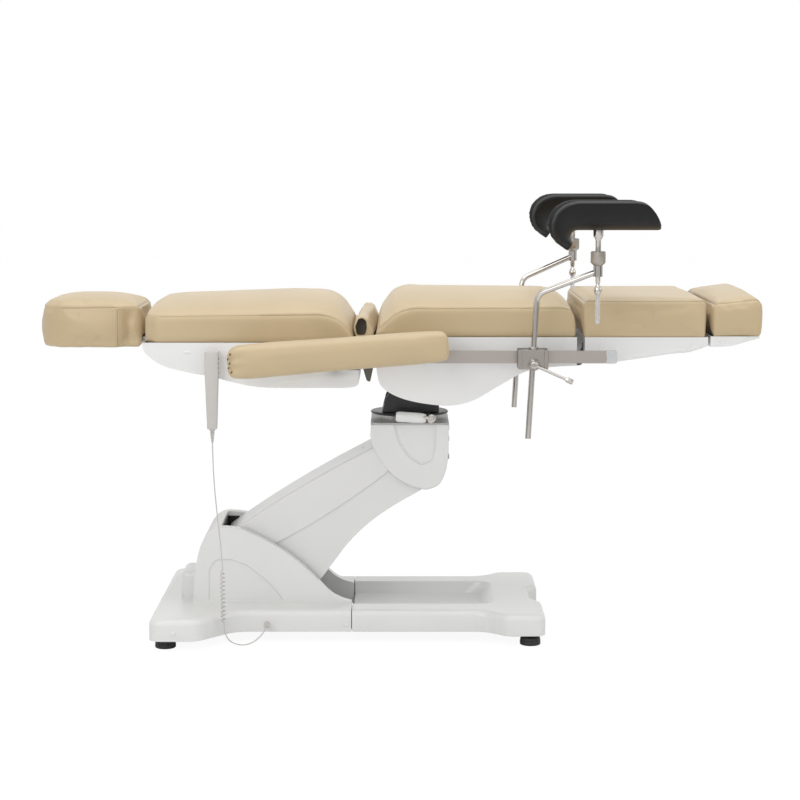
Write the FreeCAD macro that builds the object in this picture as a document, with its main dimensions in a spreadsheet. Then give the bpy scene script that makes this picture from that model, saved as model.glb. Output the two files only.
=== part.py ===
import FreeCAD, Part
import math
import os
import Sketcher

# Obstetric examination chair on an electric lift arm. Millimetres, +Z up, +X to the foot end.
# The origin lies on the floor under the middle of the chair. The patient's right side is -Y.

V = FreeCAD.Vector
os.makedirs("parts", exist_ok=True)
doc = FreeCAD.newDocument("examination_chair")
sheet = doc.addObject("Spreadsheet::Sheet", "sizes")

# Driving dimensions: alias and millimetres or degrees
DIMENSIONS = {
    # Lift arm, drawn at the top of its travel
    "pivot_x": -390.1, "pivot_height": 180, "link_length": 482, "link_angle": 31.7,
    "link_gap": 64, "link_gap_angle": 104, "shaft_radius": 12, "running_gap": 0.05,
    "link_half_width": 50, "lower_link_height": 60, "upper_link_height": 20, "boss_wall": 14,
    "cheek_gap": 4, "cheek_thickness": 10,
    "arm_half_width": 108, "arm_cover_wall": 4, "arm_lap_gap": 1, "arm_top": 93, "arm_seam": 5,
    "arm_bottom": 72, "arm_lap": 18, "arm_post_width": 30, "arm_end_short": 12, "upper_end_short": 30,
    # Base
    "base_back": 232, "base_length": 1002, "base_bottom": 27, "base_top": 83, "base_wall": 4,
    "base_chamfer": 14, "rail_outer": 237, "recess_half_width": 150, "recess_floor": 50,
    "recess_from_foot": 150, "cover_split": 276, "split_gap": 1.5,
    "rear_pad_half": 355, "rear_pad_length": 122, "rear_pad_taper": 80,
    "front_pad_half": 295, "front_pad_length": 100, "front_pad_taper": 45, "front_notch": 30,
    "hump_half_width": 147, "hump_top": 283, "slot_half_width": 115, "slot_back": 65,
    "motor_bump_half": 70, "motor_bump_height": 152, "motor_bump_depth": 22,
    "tube_height": 40, "tube_width": 50, "tube_gap": 5, "base_plate": 8,
    "foot_radius": 26.5, "foot_height": 22, "stem_radius": 7,
    "rear_foot_y": 295, "front_foot_y": 260, "foot_from_end": 38,
    # Head of the lift
    "head_rise": 117, "head_plate_thickness": 5, "head_half_width": 117, "head_wall": 4,
    "head_back": 86, "head_front": 117, "head_depth": 57, "swivel_offset": 14.9,
    # Turntable
    "bearing_height": 14, "bearing_radius": 75, "disc_radius": 102, "disc_thickness": 7,
    "cradle_height": 189, "cradle_half_width": 60, "cradle_foot": 77, "ear_thickness": 10,
    "tilt_pin_radius": 10, "lever_pivot_out": 16, "lever_grip_width": 24,
    "lever_grip_height": 28, "lever_grip_length": 79, "lever_rod_radius": 5,
    # Deck
    "deck_rise": 26, "frame_thickness": 14, "shell_wall": 4, "shell_half_width": 268,
    "cushion_half_width": 280, "cushion_clearance": 0.3,
    "seat_reach": 99, "seat_length": 523, "seat_crown": 102, "seat_shell_depth": 174,
    "seat_shell_inset": 13, "leg_gap": 7, "leg_length": 316, "leg_height": 90, "leg_shell_depth": 68,
    "leg_shell_inset": 8, "leg_hinge_drop": 64, "leg_hinge_radius": 8,
    "foot_gap": 7, "foot_length": 131, "foot_height_high": 108, "foot_shell_depth": 25, "slide_bar_width": 22,
    "slide_bar_thickness": 8, "slide_bar_y": 120, "slide_bar_reach": 180, "slide_gap": 0.5, "slide_tube_wall": 3,
    "back_hinge_back": 113, "back_hinge_drop": 19, "back_hinge_radius": 8,
    "back_gap": 9, "back_length": 570, "back_bottom_drop": 14, "back_height": 98,
    "back_shell_depth": 128, "back_shell_inset": 6,
    "headrest_gap": 14, "headrest_length": 263, "headrest_half_width": 155, "headrest_drop": 38,
    "headrest_height": 128, "headrest_bar_width": 160, "headrest_bar_thickness": 8,
    "headrest_bar_drop": 18, "headrest_pivot": 43, "headrest_bar_reach": 220, "knuckle_radius": 9,
    # Armrests
    "arm_pad_length": 551, "arm_pad_half_width": 40, "arm_pad_height": 78, "arm_pad_y": 362,
    "arm_pad_tilt": 4.6, "arm_pad_back": 417, "arm_pad_drop": 61, "arm_pivot_back": 185,
    "arm_pivot_drop": 62, "arm_pin_radius": 10,
    # Side rails and knee crutches
    "rail_width": 10, "rail_height": 31, "rail_y": 305, "rail_drop": 46, "rail_start": 35,
    "rail_length": 454, "cap_length": 27, "bracket_radius": 8, "bracket_one": 115, "bracket_two": 385,
    "clamp_length": 75, "clamp_height": 43, "clamp_from_swivel": 267, "clamp_lip": 5,
    "clamp_outer": 353, "clamp_gap": 0.3, "boss_radius": 11.5, "clamp_boss_drop": 62,
    "post_radius": 7, "post_y": 340, "post_lean": 3.2, "post_bottom": 247, "post_top": 112,
    "post_bend": 30, "tee_x": 458, "tee_y": 400, "tee_height": 172, "tee_radius": 11, "tee_length": 26,
    "spindle_radius": 4.5, "knob_radius": 18.5, "knob_height": 36, "ball_radius": 12.5,
    "handle_radius": 5, "handle_length": 70, "lever_length": 105, "clamp_lever_radius": 3.5,
    "lever_angle": 24, "clamp_grip_radius": 6, "clamp_grip_length": 17,
    "trough_bottom": 272, "trough_height": 68, "trough_radius": 103, "trough_thickness": 22,
    "trough_length": 209, "curl_from_swivel": 406, "curl_radius": 16, "curl_angle": 145,
    "curl_end_height": 7, "trough_corner": 70,
    # Hand control and its cord
    "handset_x": -495, "handset_out": 32, "handset_top": 33, "handset_length": 196,
    "handset_width": 35, "handset_depth": 22, "relief_length": 35, "relief_radius": 6,
    "lead_radius": 2, "lead_gap": 0.1, "curl_outer_radius": 7, "plug_radius": 7, "plug_length": 26,
    "plug_reach": 60, "plug_z": 48,
}

for row, (alias, amount) in enumerate(DIMENSIONS.items(), start=1):
    sheet.set(f"A{row}", alias)
    sheet.set(f"B{row}", str(amount))
    sheet.setAlias(f"B{row}", alias)
doc.recompute()


class Size:
    """A number worked out from the sheet, together with its formula for setExpression."""

    def __init__(self, number, formula):
        self.number = number
        self.formula = formula

    def __float__(self):
        return float(self.number)

    def __add__(self, other):
        return Size(self.number + float(other), f"({self.formula} + {as_size(other).formula})")

    def __sub__(self, other):
        return Size(self.number - float(other), f"({self.formula} - {as_size(other).formula})")

    def __mul__(self, other):
        return Size(self.number * float(other), f"({self.formula} * {as_size(other).formula})")

    def __truediv__(self, other):
        return Size(self.number / float(other), f"({self.formula} / {as_size(other).formula})")

    def __neg__(self):
        return Size(-self.number, f"(-1 * {self.formula})")

    def __radd__(self, other):
        return as_size(other) + self

    def __rsub__(self, other):
        return as_size(other) - self

    def __rmul__(self, other):
        return as_size(other) * self


def as_size(amount):
    if isinstance(amount, Size):
        return amount
    return Size(float(amount), f"({amount})")


def cell(alias):
    return Size(float(sheet.get(alias)), f"sizes.{alias}")


def sine(angle):
    return Size(math.sin(math.radians(float(angle))), f"sin({as_size(angle).formula})")


def cosine(angle):
    return Size(math.cos(math.radians(float(angle))), f"cos({as_size(angle).formula})")


nodes = {}
helper_count = [0]


def helper_name():
    helper_count[0] += 1
    return f"form_{helper_count[0]:03d}"


def bind(thing, **properties):
    for name, amount in properties.items():
        thing.setExpression(name, as_size(amount).formula)


def place(thing, x=0, y=0, z=0):
    for axis, amount in zip("xyz", (x, y, z)):
        thing.setExpression(f"Placement.Base.{axis}", as_size(amount).formula)
    return thing


def keep(thing, name):
    """Makes a finished form a sub-part under its own name."""
    thing.Label = name
    nodes[name] = thing
    return thing


def box(x0, x1, y0, y1, z0, z1):
    form = doc.addObject("Part::Box", helper_name())
    bind(form, Length=x1 - as_size(x0), Width=y1 - as_size(y0), Height=z1 - as_size(z0))
    return place(form, x0, y0, z0)


TURNS = {
    "X": FreeCAD.Rotation(V(0, 1, 0), 90),
    "Y": FreeCAD.Rotation(V(1, 0, 0), -90),
    "Z": FreeCAD.Rotation(),
}


def cylinder(radius, length, x, y, z, axis="Z"):
    """A round bar that starts at a point and runs along +X, +Y or +Z."""
    form = doc.addObject("Part::Cylinder", helper_name())
    form.Placement = FreeCAD.Placement(V(), TURNS[axis])
    bind(form, Radius=radius, Height=length)
    return place(form, x, y, z)


def cone(low_radius, high_radius, length, x, y, z, axis="Z"):
    form = doc.addObject("Part::Cone", helper_name())
    form.Placement = FreeCAD.Placement(V(), TURNS[axis])
    bind(form, Radius1=low_radius, Radius2=high_radius, Height=length)
    return place(form, x, y, z)


def ball(radius, x, y, z):
    form = doc.addObject("Part::Sphere", helper_name())
    bind(form, Radius=radius)
    return place(form, x, y, z)


def fuse(*forms):
    joined = doc.addObject("Part::MultiFuse", helper_name())
    joined.Shapes = list(forms)
    return joined


def group(*forms):
    together = doc.addObject("Part::Compound", helper_name())
    together.Links = list(forms)
    return together


def cut(form, *tools):
    result = doc.addObject("Part::Cut", helper_name())
    result.Base = form
    result.Tool = tools[0] if len(tools) == 1 else fuse(*tools)
    return result


def mirror(form):
    """The same form on the other side of the chair's middle plane."""
    other = doc.addObject("Part::Mirroring", helper_name())
    other.Source = form
    other.Normal = V(0, 1, 0)
    return other


def sketch_on(body, role, corners):
    """A closed outline of straight lines whose corners all hang on formulas."""
    sketch = body.newObject("Sketcher::SketchObject", helper_name())
    plane = [item for item in body.Origin.OriginFeatures if item.Role == role][0]
    sketch.AttachmentSupport = [(plane, "")]
    sketch.MapMode = "FlatFace"
    points = [(as_size(across), as_size(up)) for across, up in corners]
    count = len(points)
    for index in range(count):
        start, end = points[index], points[(index + 1) % count]
        line = Part.LineSegment(V(float(start[0]), float(start[1]), 0), V(float(end[0]), float(end[1]), 0))
        sketch.addGeometry(line, False)
    for index in range(count):
        sketch.addConstraint(Sketcher.Constraint("Coincident", index, 2, (index + 1) % count, 1))
    for index, (across, up) in enumerate(points):
        for kind, amount in (("DistanceX", across), ("DistanceY", up)):
            number = sketch.addConstraint(Sketcher.Constraint(kind, -1, 1, index, 1, float(amount)))
            sketch.setExpression(f"Constraints[{number}]", amount.formula)
    return sketch


def padded_body(role, corners, thickness):
    """A Body with one outline padded evenly to both sides of its origin plane."""
    body = doc.addObject("PartDesign::Body", helper_name())
    pad = body.newObject("PartDesign::Pad", helper_name())
    pad.Profile = sketch_on(body, role, corners)
    pad.SideType = "Symmetric"
    bind(pad, Length=thickness)
    doc.recompute()
    return body


def side_body(corners, thickness):
    """An outline of X and Z padded along Y."""
    return padded_body("XZ_Plane", corners, thickness)


def plan_body(corners, low, high):
    """An outline of X and Y padded from one height to another."""
    body = padded_body("XY_Plane", corners, high - as_size(low))
    return place(body, z=(high + as_size(low)) * 0.5)


def edges_where(body, wanted):
    """Names of the Body's straight edges whose direction and middle the test accepts."""
    names = []
    shape = body.Tip.Shape
    for number, edge in enumerate(shape.Edges, start=1):
        if not isinstance(edge.Curve, Part.Line):
            continue
        start, end = edge.Vertexes[0].Point, edge.Vertexes[-1].Point
        middle = (start + end) * 0.5
        if wanted((end - start).normalize(), middle):
            names.append(f"Edge{number}")
    return names


def fillet(body, radius, wanted):
    previous = body.Tip
    names = edges_where(body, wanted)
    feature = body.newObject("PartDesign::Fillet", helper_name())
    feature.Base = (previous, names)
    bind(feature, Radius=radius)
    body.Tip = feature
    doc.recompute()
    return body


def chamfer(body, amount, wanted):
    previous = body.Tip
    names = edges_where(body, wanted)
    feature = body.newObject("PartDesign::Chamfer", helper_name())
    feature.Base = (previous, names)
    bind(feature, Size=amount)
    body.Tip = feature
    doc.recompute()
    return body


def min_of(one, other):
    return one if float(one) < float(other) else other


def max_of(one, other):
    return other if float(one) < float(other) else one


def along(axis):
    """True for a direction that runs along a named axis."""
    pick = {"X": 0, "Y": 1, "Z": 2}[axis]
    return lambda direction: abs(direction[pick]) > 0.999


# Heights and places that the sections share
lower_x, lower_z = cell("pivot_x"), cell("pivot_height")
link_angle, link_length = cell("link_angle"), cell("link_length")
gap_x = cell("link_gap") * cosine(cell("link_gap_angle"))
gap_z = cell("link_gap") * sine(cell("link_gap_angle"))
upper_x, upper_z = lower_x + gap_x, lower_z + gap_z
head_x = lower_x + link_length * cosine(link_angle)
head_z = lower_z + link_length * sine(link_angle)
head_upper_x, head_upper_z = head_x + gap_x, head_z + gap_z
head_top = head_z + cell("head_rise")
swivel_x = head_x + cell("swivel_offset")
disc_bottom = head_top + cell("bearing_height")
disc_top = disc_bottom + cell("disc_thickness")
tilt_z = disc_top + cell("cradle_height")
deck_z = tilt_z + cell("deck_rise")

base_head = lower_x - cell("base_back")
base_foot = base_head + cell("base_length")
split_x = lower_x + cell("cover_split")

seat_head = swivel_x - cell("seat_reach")
seat_foot = seat_head + cell("seat_length")
leg_head = seat_foot + cell("leg_gap")
leg_foot = leg_head + cell("leg_length")
foot_head = leg_foot + cell("foot_gap")
foot_foot = foot_head + cell("foot_length")
back_foot = seat_head - cell("back_gap")
back_head = back_foot - cell("back_length")
rest_foot = back_head - cell("headrest_gap")
rest_head = rest_foot - cell("headrest_length")
hinge_x, hinge_z = swivel_x - cell("back_hinge_back"), deck_z - cell("back_hinge_drop")
leg_hinge_x, leg_hinge_z = seat_foot + cell("leg_gap") * 0.5, deck_z - cell("leg_hinge_drop")
gap = cell("running_gap")
frame_top = deck_z - cell("cushion_clearance")
frame_low = frame_top - cell("frame_thickness")
shell_half, shell_wall = cell("shell_half_width"), cell("shell_wall")
cushion_half = cell("cushion_half_width")


def base_outline():
    """Plan of the whole base, from the notch round the right-hand side to the left."""
    rear_out, front_out, rail = cell("rear_pad_half"), cell("front_pad_half"), cell("rail_outer")
    rear_end = base_head + cell("rear_pad_length")
    rear_in = rear_end + cell("rear_pad_taper")
    front_end = base_foot - cell("front_pad_length")
    front_in = front_end - cell("front_pad_taper")
    right = [
        (base_foot - cell("front_notch"), 0 * rail),
        (base_foot, -front_out * 0.5),
        (base_foot, -front_out),
        (front_end, -front_out),
        (front_in, -rail),
        (rear_in, -rail),
        (rear_end, -rear_out),
        (base_head, -rear_out),
    ]
    left = [(x, -y) for x, y in reversed(right[1:])]
    return right + left


def base_cover():
    """One half of the base cover: a ribless shell with chamfered top edges, open below."""
    low, top, wall = cell("base_bottom"), cell("base_top"), cell("base_wall")
    outer = plan_body(base_outline(), low, top)
    top_in_body = float(top - low) * 0.5
    chamfer(outer, cell("base_chamfer"),
            lambda way, middle: abs(way.z) < 0.01 and middle.z > top_in_body - 0.1)
    shell = doc.addObject("Part::Thickness", helper_name())
    bottom = [number for number, face in enumerate(outer.Shape.Faces, start=1)
              if face.CenterOfMass.z < float(low) + 0.1][0]
    shell.Faces = (outer, [f"Face{bottom}"])
    bind(shell, Value=-wall)
    shell.Join = 2
    return shell


def base_covers():
    low, top, wall = cell("base_bottom"), cell("base_top"), cell("base_wall")
    recess, floor = cell("recess_half_width"), cell("recess_floor")
    recess_foot = base_foot - cell("recess_from_foot")
    half_gap = cell("split_gap") * 0.5
    whole = base_cover()
    far = cell("rear_pad_half") + 10
    above = cell("hump_top") + 50

    # Rear cover: the shell's head part, with the hump that the arm dips into
    head_part = cut(whole, box(split_x - half_gap, base_foot + 20, -far, far, low - 10, above))
    hump, hump_top, slot = cell("hump_half_width"), cell("hump_top"), cell("slot_half_width")
    profile = [
        (lower_x - 135, top - wall), (lower_x - 133, lower_z - 30), (lower_x - 123, lower_z + 33),
        (lower_x - 105, hump_top - 25), (lower_x - 80, hump_top - 5), (lower_x - 60, hump_top),
        (lower_x - 22, hump_top - 4), (lower_x + 5, hump_top - 12), (lower_x + 68, hump_top - 44),
        (lower_x + 124, hump_top - 82), (lower_x + 175, hump_top - 127), (lower_x + 222, top + 24),
        (lower_x + 250, top + 8), (split_x - half_gap, top + 2), (split_x - half_gap, top - wall),
    ]
    outer = side_body(profile, hump * 2)
    inner_profile = [(x + wall if index < 4 else x, z - wall if 0 < index < 14 else z - 20)
                     for index, (x, z) in enumerate(profile)]
    inner_profile[-1] = (split_x + 20, low - 20)
    inner_profile[-2] = (split_x + 20, top - wall)
    inner_profile[-3] = (split_x - half_gap - 5, top - 2)
    inner = side_body(inner_profile, (hump - wall) * 2)
    slot_box = box(lower_x - cell("slot_back"), split_x + 20, -slot, slot, low - 10, above)
    opening = box(lower_x - 128, split_x + 20, -(hump - wall), hump - wall, low - 10, top + 0.5)
    bump_half, bump_height = cell("motor_bump_half"), cell("motor_bump_height")
    bump_head = lower_x - 135 - cell("motor_bump_depth")
    bump = plan_body([(bump_head + 8, -bump_half), (lower_x - 130, -bump_half),
                      (lower_x - 130, bump_half), (bump_head + 8, bump_half),
                      (bump_head, bump_half * 0.6), (bump_head, -bump_half * 0.6)], top - 1, bump_height)
    rear = fuse(cut(head_part, opening), cut(outer, inner, slot_box), bump)
    bump_inside = box(lower_x - 145, lower_x - 120, -(bump_half - wall), bump_half - wall, low,
                      bump_height - wall)
    inlet_low = low + cell("tube_gap")
    inlet_hole = box(base_head - 10, base_head + 14, -24.3, 24.3, inlet_low + 4.7, inlet_low + 35.3)
    plug_hole = cylinder(cell("plug_radius") + 0.3, 40, lower_x + cell("plug_reach"),
                         -(cell("rail_outer") + 20), cell("plug_z"), "Y")
    keep(cut(rear, slot_box, bump_inside, inlet_hole, plug_hole), "rear_base_cover")

    # Front cover: the shell's foot part, with the tray that takes the lowered head
    foot_part = cut(whole, box(base_head - 20, split_x + half_gap, -far, far, low - 10, above))
    tray_cut = box(split_x - 20, recess_foot, -recess, recess, floor, above)
    tray = box(split_x + half_gap, recess_foot + wall, -(recess + wall), recess + wall,
               floor - wall, top - 0.5)
    keep(cut(fuse(foot_part, tray), tray_cut), "front_base_cover")


def base_frame():
    low = cell("base_bottom") + cell("tube_gap")
    high = low + cell("tube_height")
    width = cell("tube_width")
    outer = cell("rail_outer") - cell("base_wall") - cell("tube_gap") - cell("base_chamfer") * 0.5
    inset = cell("foot_from_end")
    rear_x, front_x = base_head + inset, base_foot - inset
    tubes = []
    cross_end = base_foot - cell("front_notch") - cell("base_wall") - cell("tube_gap")
    for side in (-1, 1):
        near = outer if side > 0 else -outer + width
        tubes.append(box(rear_x, cross_end - 5, near - width, near, low, high))
    rear_reach, front_reach = cell("rear_foot_y") + 26, cell("front_foot_y") + 26
    tubes.append(box(rear_x - width * 0.5, rear_x + width * 0.5, -rear_reach, rear_reach, low, high))
    tubes.append(box(cross_end - width, cross_end, -front_reach, front_reach, low, high))
    for side in (-1, 1):
        edges = (side * (front_reach - 52), side * front_reach)
        tubes.append(box(cross_end - 1, front_x + 20, min_of(*edges), max_of(*edges), low, high))
    cheek_in = cell("link_half_width") + cell("cheek_gap")
    cheek_out = cheek_in + cell("cheek_thickness")
    plate_top = low + cell("base_plate")
    plate = box(lower_x - 130, lower_x + 50, -outer, outer, low, plate_top)
    cheeks = []
    for side in (-1, 1):
        cheek = side_body([(lower_x - 90, low), (lower_x + 45, low), (lower_x + 40, lower_z - 30),
                           (lower_x + 22, lower_z + 15), (upper_x + 24, upper_z),
                           (upper_x + 10, upper_z + 18), (upper_x - 18, upper_z + 12),
                           (lower_x - 50, lower_z)], cell("cheek_thickness"))
        place(cheek, y=side * (cheek_in + cheek_out) * 0.5)
        cheeks.append(cheek)
    bore = cell("shaft_radius") + gap
    bores = [cylinder(bore, cheek_out * 2 + 20, x, -cheek_out - 10, z, "Y")
             for x, z in ((lower_x, lower_z), (upper_x, upper_z))]
    stems = [cylinder(cell("stem_radius") + gap, 80, x, side * y, 0, "Z")
             for x, y in ((rear_x, cell("rear_foot_y")), (front_x, cell("front_foot_y")))
             for side in (-1, 1)]
    keep(cut(fuse(*tubes, plate, *cheeks), *bores, *stems), "base_frame")

    # Levelling feet: a rubber disc on a threaded stem that runs up into the cross tube
    feet = []
    for x, y in ((rear_x, cell("rear_foot_y")), (front_x, cell("front_foot_y"))):
        for side in (-1, 1):
            disc = cylinder(cell("foot_radius"), cell("foot_height"), x, side * y, 0)
            stem = cylinder(cell("stem_radius"), high - 5, x, side * y, 0)
            feet.append(fuse(disc, stem))
    keep(group(*feet), "levelling_feet")

    # Shafts of the two lower pivots
    shafts = [cylinder(cell("shaft_radius"), cheek_out * 2 + 12, x, -cheek_out - 6, z, "Y")
              for x, z in ((lower_x, lower_z), (upper_x, upper_z))]
    keep(group(*shafts), "base_shafts")

    # Gear motor beside the pivots, inside the hump
    body = cylinder(34, 100, lower_x - 80, -50, lower_z - 75, "Y")
    gearbox = box(lower_x - 112, lower_x - 55, -40, 40, plate_top, lower_z - 60)
    keep(fuse(body, gearbox), "lift_motor")

    # Mains inlet in the head end of the cover
    inlet = box(base_head - 2, base_head + 12, -24, 24, low + 5, low + 35)
    pins = box(base_head - 5, base_head + 8, -19, 19, low + 10, low + 30)
    keep(cut(inlet, pins), "power_inlet")


def arm_body(corners, thickness, x, z):
    """A form drawn along the arm, turned to the arm's angle about one of its lower pivots."""
    body = side_body(corners, thickness)
    body.Placement = FreeCAD.Placement(V(), FreeCAD.Rotation(V(0, -1, 0), float(link_angle)))
    body.setExpression("Placement.Rotation.Angle", link_angle.formula)
    return place(body, x, 0, z)


def cover_post(start, low, high, x, z):
    """A block on a link that its cover is screwed to."""
    end = start + cell("arm_post_width")
    return arm_body([(start, low), (end, low), (end, high), (start, high)], 40, x, z)


def lift_arm():
    half = cell("link_half_width")
    shaft, wall = cell("shaft_radius"), cell("boss_wall")
    skin = cell("arm_cover_wall")
    spacing = cell("link_gap") * sine(cell("link_gap_angle") - link_angle)
    upper_high, upper_low = cell("upper_link_height") * 0.5 - 1, cell("arm_top") - spacing - skin
    lower_high, lower_low = skin - cell("arm_bottom"), 1 - cell("lower_link_height") * 0.5
    posts = {
        "upper_link": [(90, upper_high, upper_low), (link_length - 120, upper_high, upper_low)],
        "lower_link": [(link_length - 75, lower_high, lower_low)],
    }
    links = (("lower_link", lower_x, lower_z, head_x, head_z, cell("lower_link_height")),
             ("upper_link", upper_x, upper_z, head_upper_x, head_upper_z, cell("upper_link_height")))
    for name, x0, z0, x1, z1, height in links:
        bar = arm_body([(0, height * -0.5), (link_length, height * -0.5),
                        (link_length, height * 0.5), (0, height * 0.5)], half * 2, x0, z0)
        boss = shaft + wall * (0.45 if name == "upper_link" else 1)
        bosses = [cylinder(boss, half * 2, x, -half, z, "Y") for x, z in ((x0, z0), (x1, z1))]
        bores = [cylinder(shaft + gap, half * 2 + 20, x, -half - 10, z, "Y")
                 for x, z in ((x0, z0), (x1, z1))]
        carriers = [cover_post(*post, x0, z0) for post in posts[name]]
        keep(cut(fuse(bar, *bosses, *carriers), *bores), name)

    # Covers: the upper one laps over the lower one along the seam
    wide = cell("arm_half_width")
    top, seam = cell("arm_top") - spacing, cell("arm_seam") - spacing
    start, end = -14, link_length - cell("upper_end_short")
    upper = arm_body([(start, seam + 30), (start + 90, seam), (end - 25, seam), (end, seam + 30),
                      (end, top), (start + 6, top)], wide * 2, upper_x, upper_z)
    fillet(upper, 14, lambda way, middle: along("X")(way) and middle.z > float(top) - 1)
    hollow_upper = arm_body([(start - 20, seam - 20), (end + 20, seam - 20), (end + 20, top - skin),
                             (start - 20, top - skin)], (wide - skin) * 2, upper_x, upper_z)
    keep(cut(upper, hollow_upper), "upper_arm_cover")

    inner_wide = wide - skin - cell("arm_lap_gap")
    lap, bottom = seam + spacing + cell("arm_lap"), cell("arm_bottom")
    finish = link_length - cell("arm_end_short")
    below = [(110, -bottom - 74), (135, -bottom - 70), (188, -bottom - 48), (253, -bottom - 23),
             (324, -bottom - 7), (400, -bottom), (finish, -bottom)]
    outline = [(34, lap), (30, -40), (60, -90)] + below + [(finish, lap)]
    lower = arm_body(outline, inner_wide * 2, lower_x, lower_z)
    inside = [(20, lap + 20), (20, -40 + 6), (60 + 2, -90 + 6)]
    inside += [(x, z + skin) for x, z in below[:-1]]
    inside += [(finish + 20, skin - bottom), (finish + 20, lap + 20)]
    hollow_lower = arm_body(inside, (inner_wide - skin) * 2, lower_x, lower_z)
    keep(cut(lower, hollow_lower), "lower_arm_cover")


def lift_head():
    half, wall = cell("head_half_width"), cell("head_wall")
    left, right = head_x - cell("head_back"), head_x + cell("head_front")
    low, top = head_z - cell("head_depth"), head_top - cell("head_plate_thickness")
    outline = [(left, top), (left - 1, top - 28), (left + 8, top - 61), (left + 43, top - 117),
               (left + 90, low + 15), (left + 130, low), (right - 52, low), (right - 20, low + 15),
               (right - 4, low + 52), (right, low + 98), (right, top)]
    outer = side_body(outline, half * 2)
    chamfer(outer, 3, lambda way, middle: abs(way.y) < 0.01 and abs(middle.y) > float(half) - 1
            and middle.z < float(top) - 5)
    inner = side_body([(left - 40, top + 20), (left - 40, low - 40), (left + 144, low - 40),
                       (left + 144, low + wall), (right - 53, low + wall), (right - 22, low + 18),
                       (right - 4 - wall, low + 52), (right - wall, low + 98), (right - wall, top + 20)],
                      (half - wall) * 2)
    keep(cut(outer, inner), "head_housing")
    keep(plan_body([(left, -half), (right, -half), (right, half), (left, half)], top, head_top), "head_plate")
    fillet(nodes["head_plate"], 12, lambda way, middle: along("Z")(way))

    cheek_in = cell("link_half_width") + cell("cheek_gap")
    cheek_out = cheek_in + cell("cheek_thickness")
    frame = []
    for side in (-1, 1):
        cheek = side_body([(head_x - 30, top), (head_x - 45, top - 25), (head_x - 28, head_z - 10),
                           (head_x - 5, head_z - 28), (head_x + 40, head_z - 28),
                           (head_x + 95, head_z + 30), (head_x + 95, top)], cell("cheek_thickness"))
        frame.append(place(cheek, y=side * (cheek_in + cheek_out) * 0.5))
    frame.append(box(head_x + 70, head_x + 95, -cheek_in - 1, cheek_in + 1, head_z + 35, top))
    bores = [cylinder(cell("shaft_radius") + gap, cheek_out * 2 + 20, x, -cheek_out - 10, z, "Y")
             for x, z in ((head_x, head_z), (head_upper_x, head_upper_z))]
    keep(cut(fuse(*frame), *bores), "head_frame")
    shafts = [cylinder(cell("shaft_radius"), cheek_out * 2 + 12, x, -cheek_out - 6, z, "Y")
              for x, z in ((head_x, head_z), (head_upper_x, head_upper_z))]
    keep(group(*shafts), "head_shafts")


def turntable():
    keep(cylinder(cell("bearing_radius"), cell("bearing_height"), swivel_x, 0, head_top), "swivel_bearing")
    disc = cylinder(cell("disc_radius"), cell("disc_thickness"), swivel_x, 0, disc_bottom)
    keep(disc, "swivel_disc")
    half, foot, ear = cell("cradle_half_width"), cell("cradle_foot"), cell("ear_thickness")
    ears = []
    for side in (-1, 1):
        form = side_body([(swivel_x - foot, disc_top), (swivel_x + foot, disc_top),
                          (swivel_x + foot, disc_top + 26), (swivel_x + 34, disc_top + 80),
                          (swivel_x + 24, tilt_z + 8), (swivel_x + 10, tilt_z + 22),
                          (swivel_x - 10, tilt_z + 22), (swivel_x - 24, tilt_z + 8),
                          (swivel_x - 34, disc_top + 80), (swivel_x - foot, disc_top + 26)], ear)
        ears.append(place(form, y=side * (half - ear * 0.5)))
    floor = box(swivel_x - foot, swivel_x + foot, -half, half, disc_top, disc_top + 12)
    pin = cell("tilt_pin_radius")
    bore = cylinder(pin + gap, half * 2 + 20, swivel_x, -half - 10, tilt_z, "Y")
    keep(cut(fuse(floor, *ears), bore), "tilt_cradle")

    # Lock lever at the edge of the head plate
    x, y = swivel_x + 55, -(cell("head_half_width") + cell("lever_pivot_out") - 16)
    z = head_top + 15
    lug = cylinder(9, 12, x, y, head_top + cell("cushion_clearance"))
    rod = cylinder(cell("lever_rod_radius"), 20, x - 20, y - 8, z, "X")
    post = box(x - 6, x + 6, y - 12, y, head_top + 4, z + 5)
    keep(fuse(lug, rod, post), "swivel_lever")
    grip_half = cell("lever_grip_width") * 0.5
    grip = plan_body([(x - 12 - cell("lever_grip_length"), y - 8 - grip_half * 0.8),
                      (x - 12, y - 8 - grip_half), (x - 12, y - 8 + grip_half),
                      (x - 12 - cell("lever_grip_length"), y - 8 + grip_half * 0.8)],
                     z - cell("lever_grip_height") * 0.4, z + cell("lever_grip_height") * 0.6)
    fillet(grip, 6, lambda way, middle: abs(way.z) < 0.01)
    hole = cylinder(cell("lever_rod_radius"), 30, x - 20, y - 8, z, "X")
    keep(cut(grip, hole), "swivel_lever_grip")


def cushion(name, corners, half, radius, top):
    """A plain padded block: its side outline padded across, with the long top edges rounded."""
    body = side_body(corners, half * 2)
    fillet(body, radius, lambda way, middle: abs(way.y) < 0.01 and abs(middle.y) > float(half) - 1
           and middle.z > float(top) - 30)
    return keep(body, name)


def pan(name, corners, inner_corners, cuts=()):
    """A moulded undershell: a deep tray with rounded lower edges, open at the top."""
    outer = side_body(corners, shell_half * 2)
    low = min(float(z) for x, z in corners)
    high = max(float(z) for x, z in corners)
    edge = lambda way, middle: (abs(way.y) < 0.01 and abs(middle.y) > float(shell_half) - 1
                                and abs(way.z) < 0.95 and middle.z < high - 1)
    fillet(outer, 20, edge)
    inner = side_body(inner_corners, (shell_half - shell_wall) * 2)
    return keep(cut(outer, inner, *cuts), name)


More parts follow.
